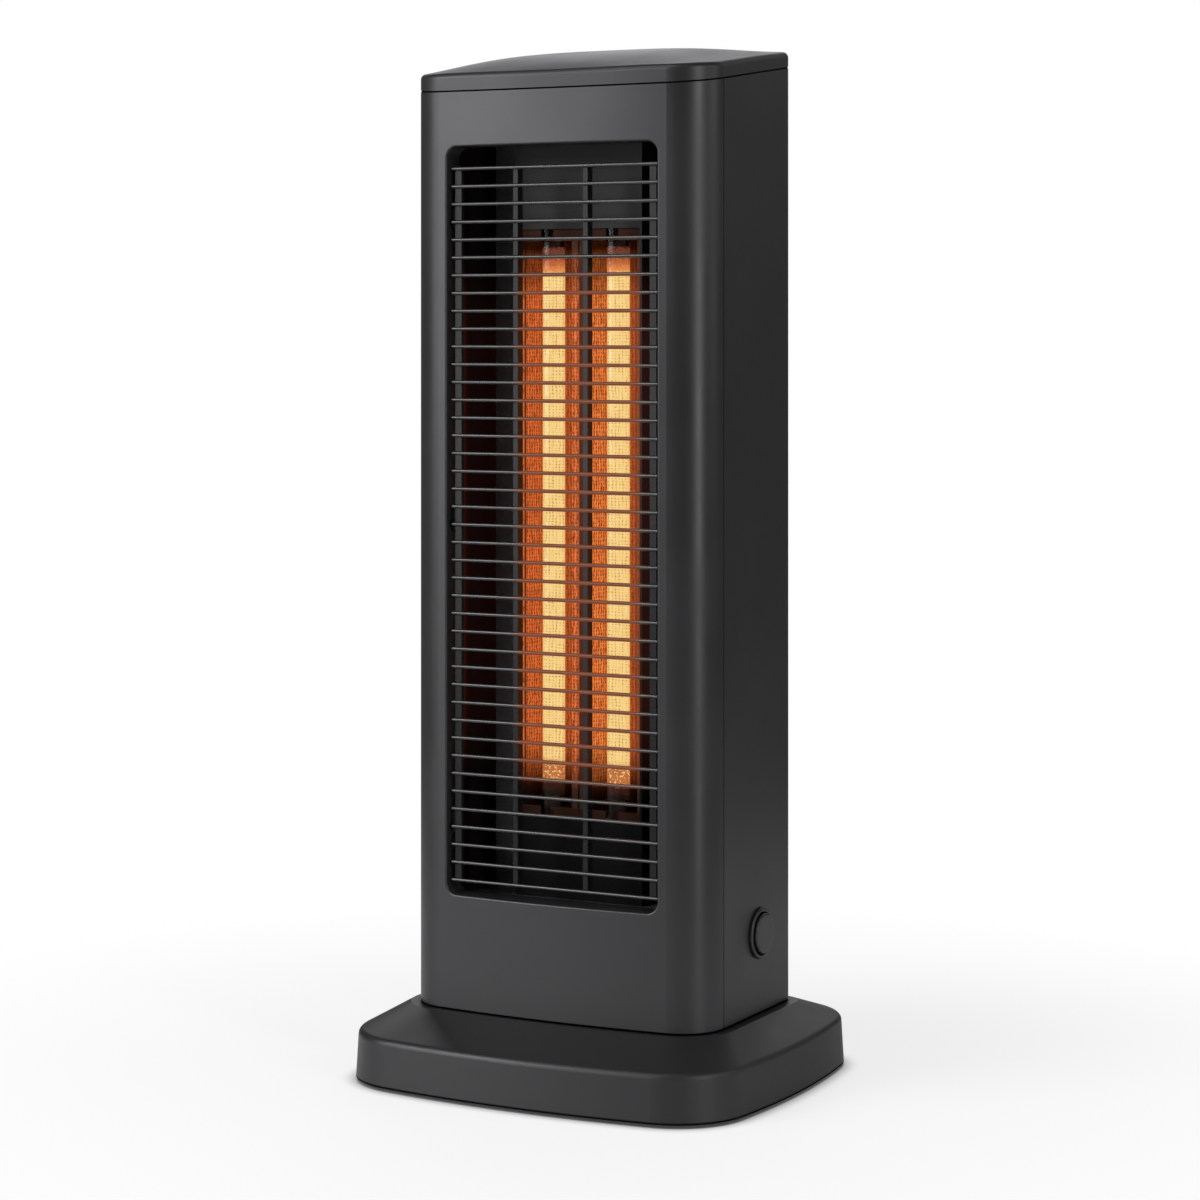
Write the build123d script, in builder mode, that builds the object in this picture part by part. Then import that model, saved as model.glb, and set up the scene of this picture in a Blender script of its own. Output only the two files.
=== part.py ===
from build123d import *

# Infrared patio heater tower: a steel tower with two carbon elements behind a wire guard,
# standing on a weighted base. Millimetres, +Z up, front towards -Y.
# Origin: the middle of the base, on the surface that the feet stand on.

# ---------------------------------------------------------------- driving dimensions
fit = 0.3                   # clearance between neighbouring pieces
slip = 0.05                 # clearance of a piece that is seated, screwed or threaded
running_fit = 0.08          # clearance of a piece that slides or turns

# tower body
body_width = 196.0
body_depth = 124.0
body_shift = -6.0           # the tower stands this far behind the middle of the base
front_bow = 6.5             # how far the front face bulges between its corners
front_corner = 26.0
rear_corner = 7.0
wall = 1.5                  # steel of the shell, the side panels and the back panel
seam_back = 29.7            # the side seam lies this far behind the front face
seam_gap = 0.7
joggle_width = 8.0          # the front shell's tongue behind the side panels
joggle_root = 6.0
tongue_gap = 2.5            # between the tongue and the shelves
side_flange = 24.0          # the side panels' flanges at the back
panel_overlap = 14.0        # the back panel laps the flanges by this much
panel_margin = 4.0          # from the back panel to the ends of the side panels
panel_corner = 5.0
rear_screw_inset = 18.0

# sloping top
head_room = 26.8            # from the upper shelf to the shells' top edge, at the front
top_rise = 0.1375           # rise of the seam per millimetre towards the back
lid_gap = 1.0               # gasket between shells and lid
gasket_inset = 0.4
lid_rim = 8.6               # height of the lid's upright rim
lid_wall = 2.5
lid_edge = 3.4              # rounding of the lid's upper edge
crown_front = 0.8           # height of the lid's crown at the front edge
crown_middle = 8.0          # in the middle
crown_rear = 1.4            # and at the back edge
crown_power = 3.5           # the higher, the steeper the crown's sides
lid_lip = 6.0               # the lid's lip reaches this far into the shells
lid_lip_wall = 2.0
lid_boss_radius = 4.5
lid_boss_inset = 18.0
lid_boss_front = 24.0       # behind the front face
lid_boss_rear = 20.0        # before the rear face

# window in the front shell
window_rise = 66.5          # from the shell's bottom edge to the window
window_width = 138.0
window_height = 437.0
window_corner = 7.0
window_return = 18.0        # depth of the folded rim
window_rim = 1.0            # rounding of the rim's front edge

# wire guard
bar_count = 41
bar_diameter = 2.2
bar_end_gap = 1.5           # between the bars' ends and the folded rim
top_bar_drop = 12.8         # the top bar lies this far below the window's top
bottom_bar_rise = 7.9
guard_setback = 7.6         # centres of the bars behind the front face
rail_width = 4.2
rail_inset = 1.5            # from the bars' ends to the rails
rail_depth = 3.0
rail_overhang = 1.2         # the rails pass the last bars by this much
stay_width = 3.0
stay_depth = 6.0
left_stay_x = -25.5
right_stay_x = 20.4
weld = 0.35                 # the bars sink this far into rails and stays
clip_height = 12.0
clip_hook = 2.5
clip_sheet = 1.0
clip_spread = 177.0         # from the middle clip to the others

# shelves and floor inside the tower
shelf_sheet = 1.2
shelf_gap = 2.0             # between the folded rim and the shelves
shelf_fold = 10.0
fold_gap = 3.0              # between the tongue and the folds
floor_sheet = 1.5
floor_fold = 12.0
wire_slot_x = (-14.0, 4.0)
wire_slot_length = 8.0

# heat shield, baffles and element housing
inner_sheet = 0.8
shield_gap = 4.0            # between the reflectors and the shield
shield_margin = 4.0         # the shield passes the baffles' feet by this much
baffle_gap = 0.2            # the baffles stand this far outside the window
baffle_foot = 10.0
housing_lead = 10.0         # the housing's face lies this far before the tubes' centres
housing_gap = 0.5
housing_foot = 8.0
housing_screw_spread = 195.0
cutout_low_margin = 12.9    # the housing's cut-out passes the ribbons by this much
cutout_high_margin = 10.4

# heating elements
element_spread = 43.0       # between the two tubes
ribbon_setback = 47.5       # centres of tubes and ribbons behind the front face
ribbon_width = 14.8
ribbon_thickness = 0.5
ribbon_gap = 0.4            # between a ribbon's edges and its tube
ribbon_start = 37.5         # from the tube's lower end to the ribbon
ribbon_end = 36.3           # and at the upper end
tube_wall = 1.0
clamp_margin = 1.9          # a clamp is narrower than its ribbon by this much on each side
clamp_thickness = 3.0
clamp_length = 12.0
lead_radius = 0.8
cap_width = 17.0
cap_depth = 13.0
cap_length = 16.0
cap_spigot = 4.0
cap_low_room = 5.5          # between the lower shelf and the caps
cap_high_room = 9.5
trough_mouth = 34.0
trough_floor = 22.0
trough_gap = 1.1            # between a tube and its trough
trough_sheet = 0.6
trough_hem = 2.2
cutout_margin = 2.0         # the housing's cut-out is wider than the troughs by this much on each side
ridge_gap = 0.5             # half of the gap between the two troughs
bracket_gap = 1.1           # between the housing's face and the brackets
bracket_lip = 7.0
bracket_inner_edge = 7.2    # the brackets' plates lie this far inside the cut-out's ends
bracket_screw_x = 12.0

# power button on the right-hand side
button_back = 78.3          # its axis lies this far behind the front face
bezel_radius = 14.8
bezel_proud = 2.1
bezel_edge = 1.2
barrel_radius = 13.3
barrel_length = 16.0
button_radius = 11.75
button_gap = 0.35
button_proud = 1.8          # beyond the bezel
button_length = 13.3
button_travel = 2.5
stem_radius = 4.0
stem_length = 16.0
nut_radius = 15.8
nut_room = 0.2              # between the nut and the lower shelf
nut_thickness = 3.7
switch_size = 22.0
switch_length = 24.0
switch_spring_radius = 6.6
spring_wire = 0.8
switch_spring_turns = 4

# base
base_width = 258.0
base_depth = 225.0
base_corner = 45.0
base_front_bow = 11.1
base_side_bow = 10.3
foot_height = 2.0
base_rim_height = 29.0
base_draft = 1.6            # the rim leans in by this much
base_edge = 4.0
deck_height = 41.5
deck_margin = 5.8           # the deck's flat top passes the tower by this much
base_wall = 3.0
pedestal_height = 1.0       # the tower stands this far above the deck
pedestal_inset = 6.0
pedestal_width = 8.0
plate_sheet = 1.5
foot_radius = 10.0
foot_stem = 3.0
foot_collar = 1.0
foot_inset_x = 39.0
foot_inset_y = 38.5
weight_margin_x = 43.5
weight_margin_y = 45.0
weight_thickness = 13.0
weight_corner = 14.0
weight_screw_inset = 16.0
weight_pocket_gap_x = 2.0   # around the tip-over switch
weight_pocket_gap_y = 3.0
base_boss_radius = 5.0
base_screw_x = 60.0         # the four screws at the front and back
base_screw_inset_x = 15.5
base_screw_inset_y = 17.0
mount_screw_inset = 38.0
mount_screw_front = 29.0
mount_screw_rear = 25.0

# tip-over switch in the base
tip_x = -18.0
tip_y = 10.0
plunger_radius = 4.0
plunger_tip = 0.6           # chamfer
plunger_travel = 4.0
collar_radius = 6.5
collar_thickness = 1.6
tip_spring_length = 6.7
tip_plate_sheet = 1.5
tip_plate_left = 28.0
tip_plate_right = 11.0
tip_half_width = 9.0
tip_foot = 8.0
tip_ear_margin = 2.0
tip_ear_gap = 1.0
tip_spring_radius = 5.3
tip_spring_wire = 0.7
tip_spring_turns = 4
tip_headroom = 2.85         # between the micro switch and the deck
lever_arm = 20.0
lever_end = 1.5             # the lever passes the plunger's axis by this much
lever_sheet = 0.5
lever_width = 4.0
lever_room = 1.35           # between the lever and the micro switch
lever_barrel = 1.2
pivot_radius = 0.6
pivot_cheek = 1.4
micro_length = 20.0
micro_width = 6.4
micro_height = 10.2
micro_overhang = 1.5        # the micro switch passes the pivot by this much
micro_screw_xs = (3.5, 12.5)
micro_screw_rise = 2.0
micro_hole = 1.1
micro_head_margin = 0.8
micro_head_height = 1.2
pin_radius = 0.9
pin_arm = 5.0
pin_well = 4.5

# back: vents, carrying grip and cord gland
vent_length = 62.0
vent_height = 4.0
vent_pitch = 10.0
vent_spread = 74.0
upper_vent_rows = 11
upper_vent_drop = 94.0      # from the grip's middle to the middle of the upper vents
lower_vent_rows = 7
lower_vent_rise = 63.5      # from the lower shelf to the middle of the lower vents
grip_drop = 24.5            # from the upper shelf to the grip's middle
grip_length = 104.0
grip_height = 30.0
grip_corner = 8.0
grip_depth = 24.0
grip_wall = 2.0
grip_flange = 4.0
grip_flange_sheet = 1.4
grip_ears = 13.0
grip_screw_margin = 7.5
gland_rise = 4.0            # between the floor's fold and the gland's nut
gland_side_gap = 2.0        # between the nut and the side panel's flange
gland_barrel = 7.8
gland_flange = 11.0
gland_flange_thickness = 4.0
gland_nose = 8.0
gland_nose_length = 10.0
gland_nose_edge = 2.0
gland_inner_length = 14.0
gland_bore = 3.7
gland_nut_radius = 12.0

# fasteners
screw_radius = 1.95         # M4
screw_head_radius = 3.8
screw_head_height = 2.3
pilot_radius = 2.0
clearance_hole = 2.2
screw_length = 8.0
small_screw_radius = 1.45   # M3
small_head = (2.7, 1.7)     # radius and height
small_screw_length = 5.0
small_hole = 1.5
mount_screw_radius = 2.45   # M5
mount_head_radius = 4.6
mount_head_height = 3.0
mount_nut_radius = 4.6
mount_nut_height = 4.0
mount_screw_end = 1.0       # the bolts pass their nuts by this much

# terminals and wiring
terminal_length = 60.0
terminal_depth = 18.0
terminal_height = 16.0
terminal_y = 35.0
terminal_count = 6
terminal_pitch = 9.0
terminal_screw_radius = 2.2
terminal_well = 6.0
terminal_screw_drop = 2.0
wire_radius = 1.3
wire_bend = 4.0
wire_exit_height = 11.0     # above the floor
wire_lane = 10.0            # the wires' runs to the left and right of the middle
wire_step = 4.0             # between wires that run side by side
wire_drop = 6.1             # the upper wires run down this far behind the thermal cut-out
switch_wire_reach = 9.0     # before the power switch
tip_wire_reach = 30.0       # to the left of the plunger
micro_wire_rise = 3.55
cutout_radius = 8.0
cutout_thickness = 9.0
cutout_flange = 1.0
cutout_wing = 3.0
cutout_screw_x = 12.0
cutout_rise = 9.9           # thermal cut-out above the upper bracket's screws

# ---------------------------------------------------------------- derived places
front_y = body_shift - body_depth / 2
rear_y = body_shift + body_depth / 2
half_width = body_width / 2
seam_y = front_y + seam_back
inner_side_x = half_width - wall
flange_edge_x = half_width - side_flange
panel_face_y = rear_y + slip + wall
body_bottom = deck_height + pedestal_height
window_bottom = body_bottom + window_rise
window_top = window_bottom + window_height
window_middle = window_bottom + window_height / 2
lower_shelf_top = window_bottom - wall - shelf_gap
lower_shelf_bottom = lower_shelf_top - shelf_sheet
upper_shelf_bottom = window_top + wall + shelf_gap
upper_shelf_top = upper_shelf_bottom + shelf_sheet
front_seam_height = upper_shelf_top + head_room
rear_seam_height = front_seam_height + top_rise * body_depth
stock_top = rear_seam_height + lid_gap + lid_rim + crown_middle
return_y = front_y + window_return
bar_y = front_y + guard_setback
bar_length = window_width - 2 * bar_end_gap
top_bar_height = window_top - top_bar_drop
bottom_bar_height = window_bottom + bottom_bar_rise
bar_pitch = (top_bar_height - bottom_bar_height) / (bar_count - 1)
rail_front_y = bar_y + bar_diameter / 2 - weld
rail_x = bar_length / 2 - rail_inset - rail_width / 2
clip_heights = (window_middle - clip_spread, window_middle, window_middle + clip_spread)
inner_fit = wall + fit
housing_y = front_y + ribbon_setback - housing_lead
tube_y = front_y + ribbon_setback
tube_x = element_spread / 2
tube_radius = ribbon_width / 2 + ribbon_gap + tube_wall
trough_y = tube_y + tube_radius + trough_gap
shield_y = trough_y + trough_sheet + shield_gap
tube_bottom = lower_shelf_top + cap_low_room + cap_length
tube_top = upper_shelf_bottom - cap_high_room - cap_length
ribbon_bottom = tube_bottom + ribbon_start
ribbon_top = tube_top - ribbon_end
clamp_width = ribbon_width - 2 * clamp_margin
cutout_width = element_spread + trough_mouth + 2 * cutout_margin
cutout_bottom = ribbon_bottom - cutout_low_margin
cutout_top = ribbon_top + cutout_high_margin
housing_width = element_spread + trough_mouth + 2 * (trough_hem + housing_gap + inner_sheet)
top_bracket_height = cutout_top - bracket_inner_edge
bottom_bracket_height = cutout_bottom + bracket_inner_edge
button_y = front_y + button_back
button_height = lower_shelf_bottom - nut_room - nut_radius
bezel_face_x = half_width + bezel_proud
button_face_x = bezel_face_x + button_proud
barrel_end_x = half_width - barrel_length
button_back_x = button_face_x - button_length
plate_top = foot_height + plate_sheet
floor_top = body_bottom + floor_sheet
grip_centre_height = upper_shelf_bottom - grip_drop
upper_vent_height = grip_centre_height - upper_vent_drop
lower_vent_height = lower_shelf_top + lower_vent_rise
gland_x = flange_edge_x - gland_side_gap - gland_nut_radius
gland_height = floor_top + floor_fold + gland_rise + gland_nut_radius
terminal_front_y = terminal_y - terminal_depth / 2
wire_height = floor_top + wire_exit_height
rear_screw_x = half_width - rear_screw_inset
rear_screw_heights = (
    floor_top + floor_fold / 2,
    lower_shelf_top + shelf_fold / 2,
    upper_shelf_top + shelf_fold / 2,
)
rear_screw_places = [(x, height) for x in (-rear_screw_x, rear_screw_x) for height in rear_screw_heights]
lid_boss_x = half_width - lid_boss_inset
lid_boss_places = [
    (x, y) for x in (-lid_boss_x, lid_boss_x) for y in (front_y + lid_boss_front, rear_y - lid_boss_rear)
]
mount_screw_x = half_width - mount_screw_inset
mount_screw_places = [
    (x, y)
    for x in (-mount_screw_x, mount_screw_x)
    for y in (front_y + mount_screw_front, rear_y - mount_screw_rear)
]
base_screw_y = base_depth / 2 - base_screw_inset_y
base_side_screw_x = base_width / 2 - base_screw_inset_x
base_screw_places = [(x, y) for x in (-base_screw_x, base_screw_x) for y in (-base_screw_y, base_screw_y)]
base_screw_places += [(-base_side_screw_x, 0.0), (base_side_screw_x, 0.0)]
foot_x = base_width / 2 - foot_inset_x
foot_y = base_depth / 2 - foot_inset_y
foot_places = [(x, y) for x in (-foot_x, foot_x) for y in (-foot_y, foot_y)]
weight_length = base_width - 2 * weight_margin_x
weight_depth = base_depth - 2 * weight_margin_y
weight_screw_x = weight_length / 2 - weight_screw_inset
weight_screw_y = weight_depth / 2 - weight_screw_inset
weight_screw_places = [
    (x, y) for x in (-weight_screw_x, weight_screw_x) for y in (-weight_screw_y, weight_screw_y)
]
housing_screw_heights = (
    window_middle - housing_screw_spread,
    window_middle,
    window_middle + housing_screw_spread,
)
grip_screw_x = grip_length / 2 + grip_screw_margin
cutout_start_y = shield_y + inner_sheet + slip
cutout_back_y = cutout_start_y + cutout_thickness + slip
wire_y = cutout_back_y + wire_drop


# ---------------------------------------------------------------- shared shapes
def either_side(side, near, far):
    """The span between two distances from the middle, on the given side of it."""
    return tuple(sorted((side * near, side * far)))


def box(x_span, y_span, z_span, mode=Mode.ADD):
    """A box in the open part, from its low to its high corner."""
    middle = [(low + high) / 2 for low, high in (x_span, y_span, z_span)]
    with Locations(tuple(middle)):
        Box(x_span[1] - x_span[0], y_span[1] - y_span[0], z_span[1] - z_span[0], mode=mode)


def rod(radius, start, axis_plane, length, mode=Mode.ADD):
    """A cylinder in the open part that starts at a point and runs along the plane's normal."""
    with BuildSketch(Plane(origin=start, z_dir=axis_plane.z_dir)) as profile:
        Circle(radius)
    extrude(profile.sketch, amount=length, mode=mode)


def ring(outer, inner, start, axis_plane, length, mode=Mode.ADD):
    """A round sleeve in the open part."""
    with BuildSketch(Plane(origin=start, z_dir=axis_plane.z_dir)) as profile:
        Circle(outer)
        Circle(inner, mode=Mode.SUBTRACT)
    extrude(profile.sketch, amount=length, mode=mode)


to_front = Plane.XZ
to_back = Plane(origin=(0, 0, 0), z_dir=(0, 1, 0))
to_right = Plane.YZ
upwards = Plane.XY
downwards = Plane(origin=(0, 0, 0), z_dir=(0, 0, -1))


def body_outline(inset):
    """Plan of the tower, drawn in from its outside."""
    with BuildSketch() as plan:
        with BuildLine():
            bow = ThreePointArc(
                (-half_width, front_y + front_bow), (0, front_y), (half_width, front_y + front_bow)
            )
            Polyline(bow @ 1, (half_width, rear_y), (-half_width, rear_y), bow @ 0)
        make_face()
        fillet(plan.vertices().group_by(Axis.Y)[0], front_corner)
        fillet(plan.vertices().group_by(Axis.Y)[-1], rear_corner)
        if inset:
            offset(amount=-inset)
    return plan.sketch


def body_block(inset, low, high):
    """The tower's plan as an upright block."""
    outline = body_outline(inset)
    with BuildPart() as block:
        with BuildSketch(Plane.XY.offset(low)):
            add(outline)
        extrude(amount=high - low)
    return block.part


def bow_radius(half_chord, bow):
    """Radius of the arc that bulges by a bow over a chord."""
    return (half_chord**2 + bow**2) / (2 * bow)


def base_outline(inset):
    """Plan of the base: where four large discs overlap, with round corners."""
    front_radius = bow_radius(base_width / 2 - base_side_bow, base_front_bow)
    side_radius = bow_radius(base_depth / 2 - base_front_bow, base_side_bow)
    with BuildSketch() as plan:
        with Locations((0, front_radius - base_depth / 2)):
            Circle(front_radius - inset)
        with Locations((0, base_depth / 2 - front_radius)):
            Circle(front_radius - inset, mode=Mode.INTERSECT)
        with Locations((side_radius - base_width / 2, 0)):
            Circle(side_radius - inset, mode=Mode.INTERSECT)
        with Locations(Location((base_width / 2 - side_radius, 0), (0, 0, 90))):
            Circle(side_radius - inset, mode=Mode.INTERSECT)
        fillet(plan.vertices(), base_corner - inset)
    return plan.sketch


def base_block(inset):
    """The base's outer form, with each face moved in by the given amount."""
    foot_line = base_outline(inset)
    rim_line = base_outline(inset + base_draft)
    deck_line = body_outline(inset - deck_margin)
    with BuildPart() as block:
        with BuildSketch(Plane.XY.offset(foot_height)):
            add(foot_line)
        with BuildSketch(Plane.XY.offset(base_rim_height - inset)):
            add(rim_line)
        loft(ruled=True)
        with BuildSketch(Plane.XY.offset(base_rim_height - inset)):
            add(rim_line)
        with BuildSketch(Plane.XY.offset(deck_height - inset)):
            add(deck_line)
        loft(ruled=True)
    return block.part


def seam_plane(rise):
    """The sloping plane of the shells' top edge, moved up along its normal."""
    slope = Plane(origin=(0, front_y, front_seam_height), x_dir=(1, 0, 0), z_dir=(0, -top_rise, 1))
    return slope.offset(rise)


def crown_height(y):
    """Height of the lid's crown in the middle of its width."""
    back = (y - front_y) / body_depth
    ends = crown_front * (1 - back) * (1 - 2 * back) + crown_rear * back * (2 * back - 1)
    return ends + crown_middle * 4 * back * (1 - back)


def under_lid(drop):
    """Everything below the lid's crowned top surface, moved down by the given amount."""
    reach = 4.0
    half = half_width + reach
    steps = 12
    with BuildPart() as block:
        for y in (front_y - reach, (front_y + rear_y) / 2, rear_y + reach):
            edge = front_seam_height + lid_gap + lid_rim + top_rise * (y - front_y) - drop
            crest = []
            for step in range(steps + 1):
                x = half * (2 * step / steps - 1)
                crest.append((x, edge + crown_height(y) * (1 - abs(x / half_width) ** crown_power)))
            with BuildSketch(Plane.XZ.offset(-y)):
                with BuildLine():
                    top = Spline(*crest)
                    Polyline(top @ 1, (half, lower_shelf_top), (-half, lower_shelf_top), top @ 0)
                make_face()
        loft()
    return block.part


def strip_corners(points, thickness):
    """The corners of a bent sheet's section: the points on one face, the thickness to their left."""
    corners = [Vector(*point) for point in points]
    inner = []
    for index, corner in enumerate(corners):
        before = corners[max(index - 1, 0)]
        after = corners[min(index + 1, len(corners) - 1)]
        first = (corner - before).normalized() if index else (after - corner).normalized()
        last = (after - corner).normalized() if index < len(corners) - 1 else first
        normal = (first + last).normalized()
        side = Vector(-normal.Y, normal.X)
        stretch = Vector(-first.Y, first.X).dot(side)
        inner.append(corner + side * (thickness / stretch))
    return corners + inner[::-1]


def pan_screw(point, plane, radius, head_radius, head_height, length):
    """A pan-head screw in the open part: its head stands proud, its shank runs back."""
    rod(head_radius, point, plane, head_height)
    rod(radius, point, Plane(origin=point, z_dir=-plane.z_dir), length)


def coil_spring(point, direction, radius, wire_size, length, turns):
    """A compression spring that stands on a point and runs along a direction."""
    rise = length - wire_size
    with BuildLine() as line:
        Helix(pitch=rise / turns, height=rise, radius=radius, center=point, direction=direction)
    path = line.line
    with BuildSketch(Plane(origin=path @ 0, z_dir=path % 0)) as section:
        Circle(wire_size / 2)
    sweep(section.sketch, path=path, is_frenet=True)


def finish(part, label):
    """Name a finished piece and write it."""
    part.label = label
    export_step(part, f"parts/{label}.step")


# ---------------------------------------------------------------- shells
outer_body = body_block(0, body_bottom, stock_top)
inner_body = body_block(wall, body_bottom, stock_top)

# What is hollow in the shell: all but the window's folded rim.
with BuildPart() as front_hollow:
    add(inner_body)
    with BuildSketch(to_front.offset(-return_y)):
        with Locations((0, window_middle)):
            RectangleRounded(window_width + 2 * wall, window_height + 2 * wall, window_corner + wall)
    extrude(amount=window_return + wall, mode=Mode.SUBTRACT)

# The tongue behind the side panels' front edges: its root inside the front shell, then its step.
tongue_bottom = lower_shelf_top + tongue_gap
tongue_top = upper_shelf_bottom - tongue_gap
root_block = body_block(wall, tongue_bottom, tongue_top)
step_block = body_block(wall + fit, tongue_bottom, tongue_top)
tongue_block = body_block(2 * wall + fit, tongue_bottom, tongue_top)
with BuildPart() as tongue_root:
    add(root_block)
    box((-half_width, half_width), (front_y, seam_y - joggle_root), (0, stock_top), Mode.SUBTRACT)
    box((-half_width, half_width), (seam_y, rear_y), (0, stock_top), Mode.SUBTRACT)
    add(tongue_block, mode=Mode.SUBTRACT)
with BuildPart() as tongue_step:
    add(step_block)
    box((-half_width, half_width), (front_y, seam_y - joggle_root), (0, stock_top), Mode.SUBTRACT)
    box((-half_width, half_width), (seam_y + joggle_width, rear_y), (0, stock_top), Mode.SUBTRACT)
    add(tongue_block, mode=Mode.SUBTRACT)

with BuildPart() as front_shell:
    add(outer_body)
    add(front_hollow.part, mode=Mode.SUBTRACT)
    with BuildSketch(to_front.offset(-return_y)):
        with Locations((0, window_middle)):
            RectangleRounded(window_width, window_height, window_corner)
    extrude(amount=window_return + wall, mode=Mode.SUBTRACT)
    split(bisect_by=Plane.XZ.offset(-seam_y), keep=Keep.TOP)
    split(bisect_by=seam_plane(0), keep=Keep.BOTTOM)
    rim_edges = front_shell.edges().filter_by_position(Axis.Y, front_y - 1, front_y + front_bow)
    rim_edges = rim_edges.filter_by_position(Axis.Z, window_bottom - 1, window_top + 1)
    rim_edges = rim_edges.filter_by_position(Axis.X, -window_width / 2 - 0.5, window_width / 2 + 0.5)
    fillet(rim_edges, window_rim)
    add(tongue_root.part)
    add(tongue_step.part)
finish(front_shell.part, "front_shell")

for side, label in ((-1, "left_side_panel"), (1, "right_side_panel")):
    with BuildPart() as side_panel:
        add(outer_body)
        add(inner_body, mode=Mode.SUBTRACT)
        split(bisect_by=Plane.XZ.offset(-seam_y - seam_gap), keep=Keep.BOTTOM)
        split(bisect_by=seam_plane(0), keep=Keep.BOTTOM)
        box(either_side(side, -half_width, flange_edge_x), (front_y, rear_y), (0, stock_top), Mode.SUBTRACT)
        for height in rear_screw_heights:
            rod(clearance_hole, (side * rear_screw_x, rear_y, height), to_front, wall, Mode.SUBTRACT)
        if side > 0:
            barrel_hole = (inner_side_x, button_y, button_height)
            rod(barrel_radius + fit / 2, barrel_hole, to_right, wall, Mode.SUBTRACT)
    finish(side_panel.part, label)

panel_span = (body_bottom + panel_margin, rear_seam_height - panel_margin)
with BuildPart() as back_panel:
    with BuildSketch(to_front.offset(-panel_face_y)):
        with Locations((0, sum(panel_span) / 2)):
            RectangleRounded(2 * (flange_edge_x + panel_overlap), panel_span[1] - panel_span[0], panel_corner)
        for height, rows in ((upper_vent_height, upper_vent_rows), (lower_vent_height, lower_vent_rows)):
            with Locations((0, height)):
                with GridLocations(vent_spread, vent_pitch, 2, rows):
                    SlotOverall(vent_length, vent_height, mode=Mode.SUBTRACT)
        with Locations((0, grip_centre_height)):
            RectangleRounded(grip_length, grip_height, grip_corner, mode=Mode.SUBTRACT)
        with Locations(rear_screw_places):
            Circle(clearance_hole, mode=Mode.SUBTRACT)
        with Locations((-grip_screw_x, grip_centre_height), (grip_screw_x, grip_centre_height)):
            Circle(small_hole, mode=Mode.SUBTRACT)
        with Locations((gland_x, gland_height)):
            Circle(gland_barrel + fit, mode=Mode.SUBTRACT)
    extrude(amount=wall)
finish(back_panel.part, "back_panel")

# ---------------------------------------------------------------- lid
lid_stock = body_block(0, lower_shelf_top, stock_top)
lid_hollow = body_block(lid_wall, lower_shelf_top, stock_top)
lip_outer = body_block(inner_fit, lower_shelf_top, stock_top)
lip_inner = body_block(inner_fit + lid_lip_wall, lower_shelf_top, stock_top)
lid_top = under_lid(0)
lid_ceiling = under_lid(lid_wall)
boss_top = under_lid(lid_wall - fit)

with BuildPart() as lid_cavity:
    add(lid_hollow)
    add(lid_ceiling, mode=Mode.INTERSECT)

with BuildPart() as lid_lip_ring:
    add(lip_outer)
    add(lip_inner, mode=Mode.SUBTRACT)
    split(bisect_by=seam_plane(-lid_lip), keep=Keep.TOP)
    split(bisect_by=seam_plane(lid_rim - lid_wall), keep=Keep.BOTTOM)

with BuildPart() as lid_bosses:
    with BuildSketch(Plane.XY.offset(upper_shelf_top + slip)):
        with Locations(lid_boss_places):
            Circle(lid_boss_radius)
            Circle(small_screw_radius + slip, mode=Mode.SUBTRACT)
    extrude(amount=stock_top - upper_shelf_top)
    add(boss_top, mode=Mode.INTERSECT)

with BuildPart() as top_lid:
    add(lid_stock)
    split(bisect_by=seam_plane(lid_gap), keep=Keep.TOP)
    add(lid_top, mode=Mode.INTERSECT)
    upper_edges = top_lid.faces().sort_by(Axis.Z)[-1].edges()
    fillet(upper_edges, lid_edge)
    add(lid_cavity.part, mode=Mode.SUBTRACT)
    add(lid_lip_ring.part)
    add(lid_bosses.part)
finish(top_lid.part, "top_lid")

with BuildPart() as lid_gasket:
    add(body_block(gasket_inset, lower_shelf_top, stock_top))
    add(body_block(wall + slip, lower_shelf_top, stock_top), mode=Mode.SUBTRACT)
    split(bisect_by=seam_plane(slip / 2), keep=Keep.TOP)
    split(bisect_by=seam_plane(lid_gap - slip / 2), keep=Keep.BOTTOM)
finish(lid_gasket.part, "lid_gasket")

# ---------------------------------------------------------------- wire guard
with BuildPart() as wire_guard:
    rail_span = (bottom_bar_height - rail_overhang, top_bar_height + rail_overhang)
    for x in (-rail_x, rail_x):
        rail_faces = (x - rail_width / 2, x + rail_width / 2)
        box(rail_faces, (rail_front_y, rail_front_y + rail_depth), rail_span)
    stay_span = (bottom_bar_height - bar_diameter / 2, top_bar_height + bar_diameter / 2)
    for x in (left_stay_x, right_stay_x):
        stay_faces = (x - stay_width / 2, x + stay_width / 2)
        box(stay_faces, (rail_front_y, rail_front_y + stay_depth), stay_span)
    with BuildSketch(Plane.YZ.offset(-bar_length / 2)):
        with Locations((bar_y, (top_bar_height + bottom_bar_height) / 2)):
            with GridLocations(bar_pitch, bar_pitch, 1, bar_count):
                Circle(bar_diameter / 2)
    extrude(amount=bar_length)
finish(wire_guard.part, "wire_guard")

clip_back_y = return_y + slip + clip_sheet
with BuildPart() as guard_clips:
    for side in (-1, 1):
        near = rail_x + rail_width / 2 + slip
        leg = either_side(side, near, window_width / 2 - slip)
        hook = either_side(side, near, window_width / 2 + clip_hook)
        for height in clip_heights:
            z_span = (height - clip_height / 2, height + clip_height / 2)
            box(leg, (bar_y + bar_diameter / 2 + slip, clip_back_y), z_span)
            box(hook, (return_y + slip, clip_back_y), z_span)
finish(guard_clips.part, "guard_clips")

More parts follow.
